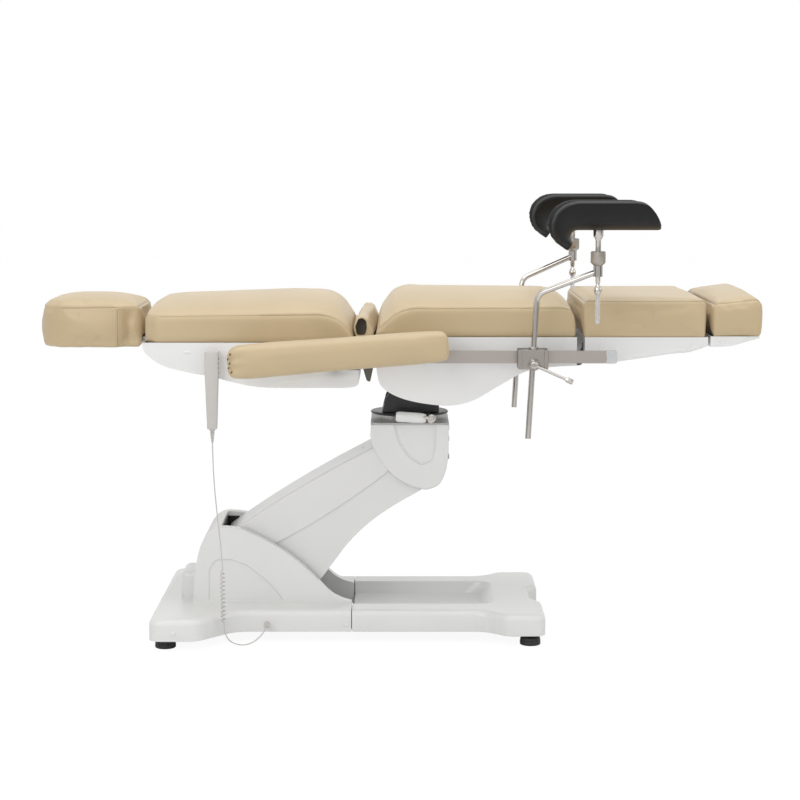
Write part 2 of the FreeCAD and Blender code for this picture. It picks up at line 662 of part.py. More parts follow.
def seat_section():
    low, wall = deck_z, shell_wall
    top = deck_z + cell("seat_crown")
    corners = [(seat_head + 26, low), (seat_head + 26, low + 20), (seat_head + 54, low + 47),
               (seat_head + 92, low + 84), (seat_head + 120, top - 6), (seat_head + 160, top),
               (seat_foot - 30, top), (seat_foot, top - 16), (seat_foot, low)]
    cushion("seat_cushion", corners, cushion_half, 34, top)

    # Undershell with the slot that the cradle stands in
    depth = cell("seat_shell_depth")
    deep = deck_z - depth
    left, right = seat_head + cell("seat_shell_inset"), seat_foot - 5
    line = [(left, deep + 135), (left + 15, deep + 49), (left + 61, deep + 21), (left + 127, deep + 4),
            (left + 193, deep), (left + 249, deep + 18), (left + 376, deep + 92), (right, deep + 102)]
    outer = [(left, frame_top)] + line + [(right, frame_top)]
    inner = [(left + wall, frame_top + 20), (left + wall, deep + 135)]
    inner += [(x + (3 if index == 0 else 0), z + wall) for index, (x, z) in enumerate(line[1:-1])]
    inner += [(right - wall, deep + 102 + wall), (right - wall, frame_top + 20)]
    half_slot = cell("cradle_half_width") + 8
    slot = box(left - 20, swivel_x + cell("cradle_foot") + 12, -half_slot, half_slot, deep - 20, deck_z - 60)
    holes = [cylinder(cell("bracket_radius") + 1, 2 * cell("rail_y") + 40, swivel_x + along_x,
                      -(cell("rail_y") + 20), deck_z - cell("rail_drop"), "Y")
             for along_x in (cell("bracket_one"), cell("bracket_two"))]
    ear_slots = [box(left - 20, left + 12, min_of(side * 248, side * 266), max_of(side * 248, side * 266),
                     hinge_z - 20, deck_z + 5) for side in (-1, 1)]
    knuckle_slots = [box(right - 24, right + 12, side * 190 - 28, side * 190 + 28, leg_hinge_z - 18,
                         leg_hinge_z + 46) for side in (-1, 1)]
    pan("seat_shell", outer, inner, [slot] + holes + ear_slots + knuckle_slots)

    # Frame: a perimeter of flat bar on the deck, ears for the tilt pin and knuckles for the hinges
    half_in = cell("cradle_half_width") - cell("ear_thickness") - 2
    bar = 40
    inside = shell_half - wall - 2
    parts = [
        box(seat_head + 30, seat_foot - 12, inside - bar, inside, frame_low, frame_top),
        box(seat_head + 30, seat_foot - 12, -inside, bar - inside, frame_low, frame_top),
        box(seat_head + 30, seat_head + 70, -inside, inside, frame_low, frame_top),
        box(seat_foot - 52, seat_foot - 12, -inside, inside, frame_low, frame_top),
        box(seat_head + 30, seat_foot - 12, -half_in, half_in, frame_low, frame_top),
    ]
    for side in (-1, 1):
        ear = side_body([(swivel_x - 26, frame_low + 1), (swivel_x - 26, tilt_z), (swivel_x - 12, tilt_z - 22),
                         (swivel_x + 12, tilt_z - 22), (swivel_x + 26, tilt_z), (swivel_x + 26, frame_low + 1)],
                        10)
        parts.append(place(ear, y=side * (half_in - 5)))
    for side in (-1, 1):
        back_ear = side_body([(hinge_x, hinge_z - 12), (seat_head + 60, hinge_z - 12),
                              (seat_head + 60, frame_top), (hinge_x + 25, frame_top), (hinge_x, hinge_z + 12)], 6)
        parts.append(place(back_ear, y=side * (inside - 3)))
        knuckle = cylinder(12, 6, hinge_x, side * inside - (0 if side < 0 else 6), hinge_z, "Y")
        parts.append(knuckle)
        leg_ear = side_body([(seat_foot - 50, frame_low), (seat_foot - 12, frame_low),
                             (leg_hinge_x, leg_hinge_z + 14), (leg_hinge_x, leg_hinge_z - 12),
                             (seat_foot - 20, leg_hinge_z - 6)], 10)
        parts.append(place(leg_ear, y=side * 205))
        parts.append(cylinder(13, 10, leg_hinge_x, side * 205 - 5, leg_hinge_z, "Y"))
    bores = [
        cylinder(cell("tilt_pin_radius") + gap, 200, swivel_x, -100, tilt_z, "Y"),
        cylinder(cell("back_hinge_radius") + gap, 2 * inside + 20, hinge_x, -(inside + 10), hinge_z, "Y"),
        cylinder(cell("leg_hinge_radius") + gap, 2 * inside + 20, leg_hinge_x, -(inside + 10), leg_hinge_z, "Y"),
    ]
    keep(cut(fuse(*parts), *bores), "seat_frame")
    half = cell("cradle_half_width")
    keep(cylinder(cell("tilt_pin_radius"), half * 2 + 4, swivel_x, -half - 2, tilt_z, "Y"), "tilt_pin")
    motor = box(swivel_x + 200, swivel_x + 290, -32, 32, frame_low - 58, frame_low)
    spindle = cylinder(14, 110, swivel_x + 95, 0, frame_low - 34, "X")
    keep(fuse(motor, spindle), "tilt_actuator")


def side_rails():
    y, z = cell("rail_y"), deck_z - cell("rail_drop") - cell("rail_height") * 0.5
    x0 = swivel_x + cell("rail_start")
    x1 = x0 + cell("rail_length")
    height, width = cell("rail_height"), cell("rail_width")
    rail = box(x0, x1, -(y + width), -y, z, z + height)
    keep(group(rail, mirror(rail)), "side_rails")
    caps = []
    for start, end in ((x0 - cell("cap_length"), x0), (x1, x1 + cell("cap_length"))):
        cap = box(start, end, -(y + width + 1), -(y - 1), z - 1, z + height + 1)
        caps += [cap, mirror(cap)]
    keep(group(*caps), "rail_end_caps")
    inside = shell_half - shell_wall - 2
    brackets = []
    for reach in (cell("bracket_one"), cell("bracket_two")):
        bar = cylinder(cell("bracket_radius"), y - inside + 20, swivel_x + reach, -y,
                       deck_z - cell("rail_drop"), "Y")
        lug = box(swivel_x + reach - 12, swivel_x + reach + 12, -inside, -(inside - 20),
                  deck_z - cell("rail_drop") - 12, frame_low)
        piece = fuse(bar, lug)
        brackets += [piece, mirror(piece)]
    keep(group(*brackets), "rail_brackets")


def back_section():
    low = deck_z - cell("back_bottom_drop")
    top = low + cell("back_height") + 14
    corners = [(back_foot - 17, low), (back_foot - 27, low + 43), (back_foot - 52, top - 30),
               (back_foot - 92, top - 4), (back_foot - 130, top), (back_head + 30, top),
               (back_head, top - 20), (back_head, low)]
    cushion("back_cushion", corners, cushion_half, 34, top)
    wall = shell_wall
    left, right = back_head + cell("back_shell_inset"), back_foot - 21
    shell_top = low - cell("cushion_clearance")
    deep = shell_top - cell("back_shell_depth") + 14
    line = [(left, shell_top - 4), (left + 10, deep + 88), (left + 55, deep + 56), (left + 119, deep + 38),
            (left + 228, deep + 13), (left + 337, deep), (right - 10, deep + 2), (right, deep + 30)]
    outer = line + [(right, shell_top), (left + 4, shell_top)]
    inner = [(left + 12, shell_top + 20), (left + 14, deep + 92), (left + 57, deep + 60),
             (left + 120, deep + 38 + wall), (left + 228, deep + 13 + wall), (left + 337, deep + wall),
             (right - 12, deep + 2 + wall), (right - wall, deep + 32), (right - wall, shell_top + 20)]
    pivot_x, pivot_z = swivel_x - cell("arm_pivot_back"), deck_z - cell("arm_pivot_drop")
    hole = cylinder(cell("arm_pin_radius") + 1.5, 2 * cell("rail_y") + 40, pivot_x,
                    -(cell("rail_y") + 20), pivot_z, "Y")
    bar_half = cell("headrest_bar_width") * 0.5 + 3
    bar_z = deck_z - cell("headrest_bar_drop")
    slot = box(left - 20, left + 40, -bar_half, bar_half, bar_z - 7, bar_z + 7)
    plate_slots = [box(right - 12, right + 12, min_of(side * 244, side * 260), max_of(side * 244, side * 260),
                       hinge_z - 20, shell_top + 5) for side in (-1, 1)]
    pan("back_shell", outer, inner, [hole, slot] + plate_slots)

    # Frame: flat bars on the deck line, hinge plates at the foot end, sleeves for the headrest bar
    inside = shell_half - wall - 2
    high = shell_top
    thick = cell("frame_thickness")
    head_end, foot_end = back_head + 40, back_foot - 40
    hinge_in = inside - 7
    parts = [box(head_end, foot_end, hinge_in - 40, hinge_in, high - thick, high),
             box(head_end, foot_end, -hinge_in, 40 - hinge_in, high - thick, high),
             box(head_end, head_end + 40, -hinge_in, hinge_in, high - thick - 16, high),
             box(foot_end - 40, foot_end, -hinge_in, hinge_in, high - thick, high)]
    for side in (-1, 1):
        plate = side_body([(hinge_x, hinge_z - 13), (foot_end - 60, high - 40), (foot_end - 60, high),
                           (hinge_x - 12, high), (hinge_x, hinge_z + 12)], 6)
        parts.append(place(plate, y=side * (hinge_in - 3)))
        parts.append(cylinder(12, 6, hinge_x, side * hinge_in - (0 if side < 0 else 6), hinge_z, "Y"))
        lug = box(pivot_x - 16, pivot_x + 16, side * (inside - 14) - 7, side * (inside - 14) + 7,
                  pivot_z - 16, high - 2)
        parts.append(lug)
    pins = [cylinder(cell("back_hinge_radius"), 15, hinge_x, side * inside - (15 if side > 0 else 0),
                     hinge_z, "Y") for side in (-1, 1)]
    bores = [cylinder(cell("arm_pin_radius") + gap, 2 * inside + 20, pivot_x, -(inside + 10), pivot_z, "Y"),
             box(head_end - 10, head_end + 60, -(bar_half - 2.5), bar_half - 2.5,
                 bar_z - cell("headrest_bar_thickness") * 0.5 - 0.5,
                 bar_z + cell("headrest_bar_thickness") * 0.5 + 0.5)]
    keep(fuse(cut(fuse(*parts), *bores), *pins), "back_frame")

    # Tan gussets that close the gap between back and seat at each side
    loose = cell("cushion_clearance")
    gusset = side_body([(back_foot - 19.7 + loose, low + 12), (back_foot - 27 + loose, low + 43),
                        (back_foot - 51.5 + loose, top - 30), (hinge_x - 32, hinge_z + 92),
                        (hinge_x - 17, hinge_z + 48), (hinge_x - 6.5, low + 12)], 14)
    place(gusset, y=-(cushion_half - 8))
    keep(group(gusset, mirror(gusset)), "hinge_gussets")


def headrest():
    low = deck_z - cell("headrest_drop")
    top = low + cell("headrest_height")
    bar_z = deck_z - cell("headrest_bar_drop")
    half = cell("headrest_half_width")
    pivot_x = rest_foot - cell("headrest_pivot")
    thick = cell("headrest_bar_thickness")
    body = plan_body([(rest_head + 60, -half + 6), (rest_foot - 60, -half), (rest_foot, -half + 34),
                      (rest_foot, half - 34), (rest_foot - 60, half), (rest_head + 60, half - 6),
                      (rest_head + 14, half - 60), (rest_head, half - 110), (rest_head, 110 - half),
                      (rest_head + 14, 60 - half)], low, top)
    upper = float(top - low) * 0.5 - 1
    fillet(body, 40, lambda way, middle: along("Y")(way) and middle.z > upper and middle.x > float(rest_foot) - 1)
    fillet(body, 26, lambda way, middle: abs(way.z) < 0.01 and middle.z > upper and middle.x < float(pivot_x))
    slot = side_body([(pivot_x, bar_z - 7), (rest_foot + 20, bar_z - 24), (rest_foot + 20, bar_z + 24),
                      (pivot_x, bar_z + 7)], cell("headrest_bar_width") + 8)
    knuckle_radius, loose = cell("knuckle_radius"), cell("cushion_clearance")
    seat = cylinder(knuckle_radius + loose, cell("headrest_bar_width") + 8, pivot_x,
                    -cell("headrest_bar_width") * 0.5 - 4, bar_z, "Y")
    keep(cut(body, slot, seat), "headrest_cushion")
    bar_half = cell("headrest_bar_width") * 0.5
    bar = box(pivot_x, pivot_x + cell("headrest_bar_reach"), -bar_half, bar_half,
              bar_z - thick * 0.5, bar_z + thick * 0.5)
    knuckle = cylinder(knuckle_radius, bar_half * 2, pivot_x, -bar_half, bar_z, "Y")
    keep(fuse(bar, knuckle), "headrest_bar")


def armrests():
    y, half = cell("arm_pad_y"), cell("arm_pad_half_width")
    height, length = cell("arm_pad_height"), cell("arm_pad_length")
    x0, z0 = swivel_x - cell("arm_pad_back") - 35, deck_z - cell("arm_pad_drop")
    pad = side_body([(0, 8), (20, 0), (length - 20, 0), (length, 12), (length, height - 12),
                     (length - 20, height), (20, height), (0, height - 14)], half * 2)
    fillet(pad, 16, lambda way, middle: along("X")(way))
    pad.Placement = FreeCAD.Placement(V(), FreeCAD.Rotation(V(0, -1, 0), 4.6))
    pad.setExpression("Placement.Rotation.Angle", cell("arm_pad_tilt").formula)
    place(pad, x0, -y, z0 - height * 0.42)
    pivot_x, pivot_z = swivel_x - cell("arm_pivot_back"), deck_z - cell("arm_pivot_drop")
    inside = shell_half - shell_wall - 2
    inner_face = y - half
    pin = cylinder(cell("arm_pin_radius"), inner_face - inside + 30 + 0.3, pivot_x, -inner_face - 0.3,
                   pivot_z, "Y")
    plate = box(pivot_x - 30, pivot_x + 60, -inner_face - 0.3, -(inner_face - 6), pivot_z - 16, pivot_z + 16)
    bracket = fuse(pin, plate)
    pad_cut = cut(pad, box(pivot_x - 32, pivot_x + 62, -inner_face - 0.8, -(inner_face - 10),
                           pivot_z - 18, pivot_z + 18))
    keep(pad_cut, "right_armrest_pad")
    keep(bracket, "right_armrest_bracket")
    keep(mirror(pad_cut), "left_armrest_pad")
    keep(mirror(bracket), "left_armrest_bracket")


def leg_section():
    low = deck_z
    top = low + cell("leg_height") + 2
    cushion("leg_cushion", [(leg_head, low), (leg_head, top - 14), (leg_head + 16, top),
                            (leg_foot - 16, top), (leg_foot, top - 14), (leg_foot - 3, low)],
            cushion_half, 22, top)
    wall = shell_wall
    left, right = leg_head + cell("leg_shell_inset"), leg_foot + 1
    deep = deck_z - cell("leg_shell_depth")
    line = [(left, deep), (left + 58, deep + 2), (left + 220, deep + 25), (left + 263, deep + 28),
            (right, deep + 44)]
    outer = [(left, frame_top)] + line + [(right, frame_top)]
    inner = [(left + wall, frame_top + 20), (left + wall, deep + wall), (left + 58, deep + 2 + wall),
             (left + 220, deep + 25 + wall), (left + 262, deep + 28 + wall), (right - wall, deep + 46 + wall),
             (right - wall, frame_top + 20)]
    y, bar, thick = cell("slide_bar_y"), cell("slide_bar_width"), cell("slide_bar_thickness")
    tube_wall, loose = cell("slide_tube_wall"), cell("slide_gap")
    tube_half = bar * 0.5 + loose + tube_wall
    tube_low = frame_top - thick - loose * 2 - tube_wall * 2
    openings = [box(right - 20, right + 20, side * y - tube_half - 1, side * y + tube_half + 1,
                    tube_low - 1, frame_top + 5) for side in (-1, 1)]
    hinge_slot = [box(left - 20, left + 32, side * 190 - 28, side * 190 + 28, deep - 20, deck_z - 20)
                  for side in (-1, 1)]
    pan("leg_shell", outer, inner, openings + hinge_slot)

    inside = shell_half - wall - 2
    parts = []
    bores = []
    for side in (-1, 1):
        parts.append(box(left + 10, right - 3, side * y - tube_half, side * y + tube_half, tube_low, frame_top))
        bores.append(box(left + 30, right + 20, side * y - bar * 0.5 - loose, side * y + bar * 0.5 + loose,
                         tube_low + tube_wall, frame_top - tube_wall))
        knuckle = cylinder(12, 20, leg_hinge_x, side * 185 - 10, leg_hinge_z, "Y")
        arm = side_body([(leg_hinge_x, leg_hinge_z - 12), (leg_hinge_x + 30, leg_hinge_z - 2),
                         (leg_hinge_x + 60, frame_low), (leg_hinge_x + 22, frame_low),
                         (leg_hinge_x, leg_hinge_z + 12)], 20)
        parts += [knuckle, place(arm, y=side * 185)]
    for x in (left + 12, right - 60):
        parts.append(box(x, x + 40, -(inside - 10), inside - 10, frame_low, frame_top))
    pins = [cylinder(cell("leg_hinge_radius"), 26, leg_hinge_x, side * 187 + (-1 if side > 0 else -25),
                     leg_hinge_z, "Y") for side in (-1, 1)]
    keep(fuse(cut(fuse(*parts), *bores), *pins), "leg_frame")

    # Foot section on two bars that slide in the leg frame's tubes
    bars = [box(foot_head - cell("slide_bar_reach"), foot_foot - 68, side * y - bar * 0.5, side * y + bar * 0.5,
                tube_low + tube_wall + loose, tube_low + tube_wall + loose + thick) for side in (-1, 1)]
    foot_low = deck_z + 2
    cross = box(foot_head + 8, foot_head + 38, -(y + 60), y + 60, tube_low + tube_wall + loose,
                foot_low - cell("cushion_clearance"))
    keep(fuse(*bars, cross), "foot_slide")
    high_near, high_far = foot_low + cell("foot_height_high") - 16, foot_low + cell("foot_height_high")
    cushion("foot_cushion", [(foot_head + 3, foot_low), (foot_head, high_near - 14), (foot_head + 14, high_near),
                             (foot_foot - 40, high_far), (foot_foot - 12, high_far - 10),
                             (foot_foot, high_far - 34), (foot_foot - 4, foot_low + 5)],
            cushion_half, 22, high_far)
    foot_right = foot_foot - 8
    depth = cell("foot_shell_depth")
    shell_line = [(foot_head, deck_z - depth), (foot_head + 50, deck_z - depth + 2),
                  (foot_head + 95, deck_z - depth + 14), (foot_right, deck_z - 3)]
    outer = [(foot_head, foot_low - 0.3)] + shell_line + [(foot_right, foot_low - 0.3)]
    inner = [(foot_head + wall, foot_low + 20), (foot_head + wall, deck_z - depth + wall),
             (foot_head + 50, deck_z - depth + 2 + wall), (foot_head + 94, deck_z - depth + 14 + wall),
             (foot_right - 8, deck_z + 1), (foot_right - 8, foot_low + 20)]
    entries = [box(foot_head - 20, foot_head + 20, side * y - bar * 0.5 - 1, side * y + bar * 0.5 + 1,
                   tube_low, foot_low + 5) for side in (-1, 1)]
    body = side_body(outer, shell_half * 2)
    keep(cut(body, side_body(inner, (shell_half - wall) * 2), *entries), "foot_shell")


def wire_through(points, radii):
    """Straight runs joined by tangent arcs: one wire for a tube's middle line."""
    edges = []
    start = points[0]
    for index in range(1, len(points) - 1):
        before, corner, after = points[index - 1], points[index], points[index + 1]
        into = (corner - before).normalize()
        out = (after - corner).normalize()
        half_turn = into.getAngle(out) * 0.5
        radius = radii[index - 1]
        reach = radius * math.tan(half_turn)
        first, last = corner - into * reach, corner + out * reach
        bisector = (out - into).normalize()
        centre = corner + bisector * (radius / math.cos(half_turn))
        middle = centre - bisector * radius
        edges.append(Part.LineSegment(start, first).toShape())
        edges.append(Part.Arc(first, middle, last).toShape())
        start = last
    edges.append(Part.LineSegment(start, points[-1]).toShape())
    return Part.Wire(edges)


def tube_along(wire, radius):
    """A round bar swept along a wire."""
    start = wire.Edges[0].firstVertex().Point
    direction = wire.Edges[0].tangentAt(wire.Edges[0].FirstParameter)
    circle = Part.Wire(Part.makeCircle(float(radius), start, direction))
    return wire.makePipeShell([circle], True, False)


def feature(shape):
    form = doc.addObject("Part::Feature", helper_name())
    form.Shape = shape
    form.Placement = FreeCAD.Placement()
    return form


def crutch():
    """The right-hand knee crutch; the left one is its mirror image."""
    rail_y, rail_w = cell("rail_y"), cell("rail_width")
    rail_low = deck_z - cell("rail_drop") - cell("rail_height") * 0.5
    rail_high = rail_low + cell("rail_height")
    x0 = swivel_x + cell("clamp_from_swivel")
    x1 = x0 + cell("clamp_length")
    loose, lip = cell("clamp_gap"), cell("clamp_lip")
    low, high = rail_high + 6 - cell("clamp_height") - 6, rail_high + 6
    body = box(x0, x1, -cell("clamp_outer"), -(rail_y - lip), low, high)
    channel = box(x0 - 5, x1 + 5, -(rail_y + rail_w + loose), -(rail_y - loose), rail_low - loose,
                  rail_high + loose)
    throat = box(x0 - 5, x1 + 5, -(rail_y - loose + 0.1), -(rail_y - lip - 1), rail_low + 6, rail_high - 6)
    lean = cell("post_lean")
    post_x = swivel_x + cell("clamp_from_swivel") + cell("clamp_length") * 0.5
    post_y = cell("post_y")
    mid_z = (low + high) * 0.5
    hole = cylinder(cell("post_radius") + gap, 140, post_x - 70 * sine(lean), -post_y, mid_z - 70 * cosine(lean))
    hole.Placement = FreeCAD.Placement(V(), FreeCAD.Rotation(V(0, 1, 0), float(lean)))
    hole.setExpression("Placement.Rotation.Angle", lean.formula)
    boss_z = deck_z - cell("clamp_boss_drop")
    boss = cylinder(cell("boss_radius"), 5, post_x + 2, -(cell("clamp_outer") + 4), boss_z, "Y")
    keep(cut(fuse(body, boss), channel, throat, hole), "right_rail_clamp")

    # Clamp lever on the boss
    y = -(cell("clamp_outer") + 8)
    hub = cylinder(9, 7, post_x + 2, y - 3.3, boss_z, "Y")
    rod = cylinder(cell("clamp_lever_radius"), cell("lever_length"), post_x + 2, y, boss_z, "X")
    grip = cylinder(cell("clamp_grip_radius"), cell("clamp_grip_length"),
                    post_x + 2 + cell("lever_length") - cell("clamp_grip_length"), y, boss_z, "X")
    turned = fuse(rod, grip)
    lever_angle = cell("lever_angle")
    keep(fuse(hub, turn_about(turned, post_x + 2, boss_z, lever_angle)), "right_clamp_lever")

    # Post: a bent bar that leans, turns out over a wide bend and ends in a tee
    tilt = math.tan(math.radians(float(lean)))
    bottom_z, top_z = deck_z - cell("post_bottom"), deck_z + cell("post_top")
    foot = V(float(post_x) + (float(bottom_z) - float(mid_z)) * tilt, -float(post_y), float(bottom_z))
    knee = V(float(post_x) + (float(top_z) - float(mid_z)) * tilt, -float(post_y), float(top_z))
    tee_x, tee_y = swivel_x + cell("tee_x"), cell("tee_y")
    tee_z = deck_z + cell("tee_height")
    end = V(float(tee_x) - 4, -float(tee_y) + 1.5, float(tee_z) - 1.5)
    bar = tube_along(wire_through([foot, knee, end], [float(cell("post_bend"))]), cell("post_radius"))
    tee_low = tee_z - cell("tee_length") * 0.5
    sleeve = cylinder(cell("tee_radius"), cell("tee_length"), tee_x, -tee_y, tee_low)
    spindle = cell("spindle_radius")
    bore = cylinder(spindle + gap, 60, tee_x, -tee_y, tee_low - 10)
    keep(cut(fuse(feature(bar), sleeve), bore), "right_crutch_post")

    # Lock: knurled knob above the tee, spindle through it, ball and hanging handle below
    tee_high = tee_low + cell("tee_length")
    knob = cylinder(cell("knob_radius"), cell("knob_height") - 8, tee_x, -tee_y, tee_high + 8.3)
    taper = cone(11, cell("knob_radius"), 8, tee_x, -tee_y, tee_high + 0.3)
    ball_z = tee_low - 33
    shank = cylinder(spindle, tee_high + 2 - ball_z, tee_x, -tee_y, ball_z)
    sphere = ball(cell("ball_radius"), tee_x, -tee_y, ball_z)
    handle = cone(cell("handle_radius") - 1, cell("handle_radius"), cell("handle_length") + 12, tee_x, -tee_y,
                  ball_z - cell("handle_length") - 12)
    keep(fuse(knob, taper, shank, sphere, handle), "right_crutch_lock")

    # Pad: a trough whose near end curls down, on a socket that sits in the knob
    keep(fuse(feature(trough()), pad_socket(tee_x, tee_y, tee_high)), "right_crutch_pad")
    for name in ("rail_clamp", "clamp_lever", "crutch_post", "crutch_lock", "crutch_pad"):
        keep(mirror(nodes[f"right_{name}"]), f"left_{name}")


def turn_about(form, x, z, angle):
    """The form turned down by an angle about an axis along Y."""
    turned = doc.addObject("Part::Compound", helper_name())
    turned.Links = [form]
    turned.Placement = FreeCAD.Placement(V(), FreeCAD.Rotation(V(0, 1, 0), float(angle)))
    turned.setExpression("Placement.Rotation.Angle", angle.formula)
    place(turned, x - (x * cosine(angle) + z * sine(angle)), 0, z - (z * cosine(angle) - x * sine(angle)))
    return turned


def pad_socket(tee_x, tee_y, tee_high):
    start = tee_high + cell("knob_height") + 0.6
    neck = cylinder(10, deck_z + cell("trough_bottom") - start + 4, tee_x, -tee_y, start)
    flange = cylinder(17, 16, tee_x, -tee_y, deck_z + cell("trough_bottom") - 14)
    return fuse(neck, flange)


def trough():
    """Loft of U-shaped sections: straight along the calf, then curling down at the knee."""
    radius, thick = float(cell("trough_radius")), float(cell("trough_thickness"))
    curl, tall = float(cell("curl_radius")), float(cell("trough_height"))
    end_tall = float(cell("curl_end_height"))
    centre_x = float(swivel_x + cell("curl_from_swivel"))
    bottom = float(deck_z + cell("trough_bottom"))
    centre_z, y = bottom - curl, -float(cell("tee_y"))
    inner = radius - thick
    rim_lean = 0.02

    def section(height, angle, forward):
        """One closed U outline, turned about the curl's middle and moved along the trough."""
        out_half = math.acos((radius - height) / radius)
        points = []
        for share in (-1, 0, 1):
            lean = out_half * share
            points.append((radius * math.sin(lean), curl + radius - radius * math.cos(lean)))
        for share in (1, 0, -1):
            lean = (out_half - rim_lean) * share
            points.append((inner * math.sin(lean), curl + radius - inner * math.cos(lean)))
        turn = math.radians(angle)
        world = [V(centre_x + forward - up * math.sin(turn), y + side, centre_z + up * math.cos(turn))
                 for side, up in points]
        edges = [Part.Arc(world[0], world[1], world[2]).toShape(),
                 Part.LineSegment(world[2], world[3]).toShape(),
                 Part.Arc(world[3], world[4], world[5]).toShape(),
                 Part.LineSegment(world[5], world[0]).toShape()]
        return Part.Wire(edges)

    length = float(cell("trough_length"))
    straight = Part.makeLoft([section(tall, 0, 0), section(tall, 0, length)], True, True)
    stations = 6
    whole = float(cell("curl_angle"))
    wires = []
    for step in range(stations):
        share = step / (stations - 1)
        left = (1 + math.cos(math.pi * share ** 1.2)) * 0.5
        wires.append(section(end_tall + (tall - end_tall) * left, whole * share, 0))
    curled = Part.makeLoft(wires, True, False)
    shape = straight.fuse(curled)
    corner = float(cell("trough_corner"))
    rim = radius - inner * math.cos(math.acos((radius - tall) / radius) - rim_lean)
    start = V(centre_x + length - corner, y - radius * 1.5, bottom + rim - corner)
    trim = Part.makeBox(corner, radius * 3, corner + thick, start)
    round_off = Part.makeCylinder(corner, radius * 3, start, V(0, 1, 0))
    return shape.cut(trim.cut(round_off))


def handset():
    """Hand control on its hook, its curly lead and the plug in the base."""
    x, y = swivel_x + cell("handset_x"), -(shell_half + cell("handset_out"))
    top = deck_z - cell("handset_top")
    low = top - cell("handset_length")
    width, depth = cell("handset_width") * 0.5, cell("handset_depth") * 0.5
    body = side_body([(x - width, top), (x - width, top - 90), (x - width * 0.7, low),
                      (x + width * 0.7, low), (x + width, top - 90), (x + width, top)], depth * 2)
    place(body, y=y)
    fillet(body, 5, lambda way, middle: abs(way.y) < 0.01 and abs(middle.y) > float(depth) - 1)
    relief = cone(3.5, cell("relief_radius"), cell("relief_length"), x, y, low - cell("relief_length"))
    keep(fuse(body, relief), "handset")
    hook = box(x - 9, x + 9, y + depth + 0.3, -shell_half, top - 30, top - 18)
    keep(hook, "handset_hook")

    start_z = float(low - cell("relief_length") - cell("lead_gap"))
    fx, fy = float(x), float(y)
    radius = float(cell("lead_radius"))
    upper = [V(fx, fy, start_z), V(fx + 1, fy, start_z - 55), V(fx + 4, fy + 1, start_z - 112),
             V(fx + 9, fy + 1, start_z - 170), V(fx + 15, fy, start_z - 226), V(fx + 20, fy, start_z - 275),
             V(fx + 22, fy, start_z - 323)]
    cord_tube("handset_lead", upper, radius)
    coil_top = upper[-1]
    coil_bottom = V(fx + 24, fy, 62)
    direction = coil_bottom - coil_top
    shape = Part.makeCylinder(float(cell("curl_outer_radius")), direction.Length, coil_top, direction)
    keep(feature(shape), "handset_curly_lead")
    plug_x, plug_z = float(lower_x + cell("plug_reach")), float(cell("plug_z"))
    skirt = -float(cell("rail_outer"))
    mouth = skirt - float(cell("plug_length"))
    tail = [coil_bottom, V(fx + 26, fy - 1, 38), V(fx + 40, fy - 4, 15), V(fx + 70, fy - 5, 6),
            V(fx + 100, fy - 1, 13), V(plug_x - 6, mouth - 32, 36), V(plug_x, mouth - 14, plug_z),
            V(plug_x, mouth, plug_z)]
    cord_tube("handset_tail", tail, radius)
    plug = cylinder(cell("plug_radius"), cell("plug_length") + 8, lower_x + cell("plug_reach"), mouth,
                    cell("plug_z"), "Y")
    keep(plug, "handset_plug")


def cord_tube(name, points, radius):
    """A cord's tube: each arc as large as the shorter of its two runs allows."""
    radii = []
    for before, corner, after in zip(points, points[1:], points[2:]):
        into, out = corner - before, after - corner
        half_turn = into.getAngle(out) * 0.5
        shorter = min(into.Length, out.Length)
        radii.append(0.45 * shorter / math.tan(half_turn))
    wire = wire_through(points, radii)
    shape = tube_along(wire, radius)
    section = math.pi * radius ** 2
    print(name, "length", round(wire.Length, 1), "radii", [round(value, 1) for value in radii],
          "volume share", round(shape.Volume / (section * wire.Length), 4))
    keep(feature(shape), name)


base_covers()
base_frame()
lift_arm()
lift_head()
turntable()
seat_section()
side_rails()
back_section()
headrest()
armrests()
leg_section()
crutch()
handset()
doc.recompute()

failed = [f"{thing.Label} ({thing.TypeId})" for thing in doc.Objects
          if "Invalid" in thing.State or "Error" in thing.State]
failed += [name for name, thing in nodes.items() if thing.Shape.isNull() or not thing.Shape.isValid()]
if failed:
    raise RuntimeError("failed: " + ", ".join(failed))
for name, thing in nodes.items():
    thing.Shape.exportStep(f"parts/{name}.step")
print(len(nodes), "sub-parts written")
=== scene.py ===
import math
import bpy
from mathutils import Matrix, Vector, noise


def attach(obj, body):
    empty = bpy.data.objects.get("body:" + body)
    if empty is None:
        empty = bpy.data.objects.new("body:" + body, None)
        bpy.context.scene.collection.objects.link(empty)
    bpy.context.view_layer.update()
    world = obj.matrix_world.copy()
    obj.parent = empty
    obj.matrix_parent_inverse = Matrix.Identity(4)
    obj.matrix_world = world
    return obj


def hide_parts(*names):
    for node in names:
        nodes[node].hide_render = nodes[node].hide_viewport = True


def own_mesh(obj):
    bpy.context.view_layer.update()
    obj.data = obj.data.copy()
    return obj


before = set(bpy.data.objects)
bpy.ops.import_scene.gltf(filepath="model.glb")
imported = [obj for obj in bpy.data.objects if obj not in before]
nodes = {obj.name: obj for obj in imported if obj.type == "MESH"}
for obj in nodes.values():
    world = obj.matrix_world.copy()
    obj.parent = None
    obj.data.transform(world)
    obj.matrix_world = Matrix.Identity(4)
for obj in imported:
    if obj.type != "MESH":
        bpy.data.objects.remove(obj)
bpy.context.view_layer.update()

# Studio. The chair stands on a pale seamless floor under a large soft light from above, a softer
# one from the camera's side and an even white surround.
scene = bpy.context.scene
scene.view_settings.view_transform = "Standard"
bpy.ops.object.select_all(action="DESELECT")
camera_place, camera_tilt, lens = (0.01, -5.8, 1.25), math.radians(6.42), 99.6
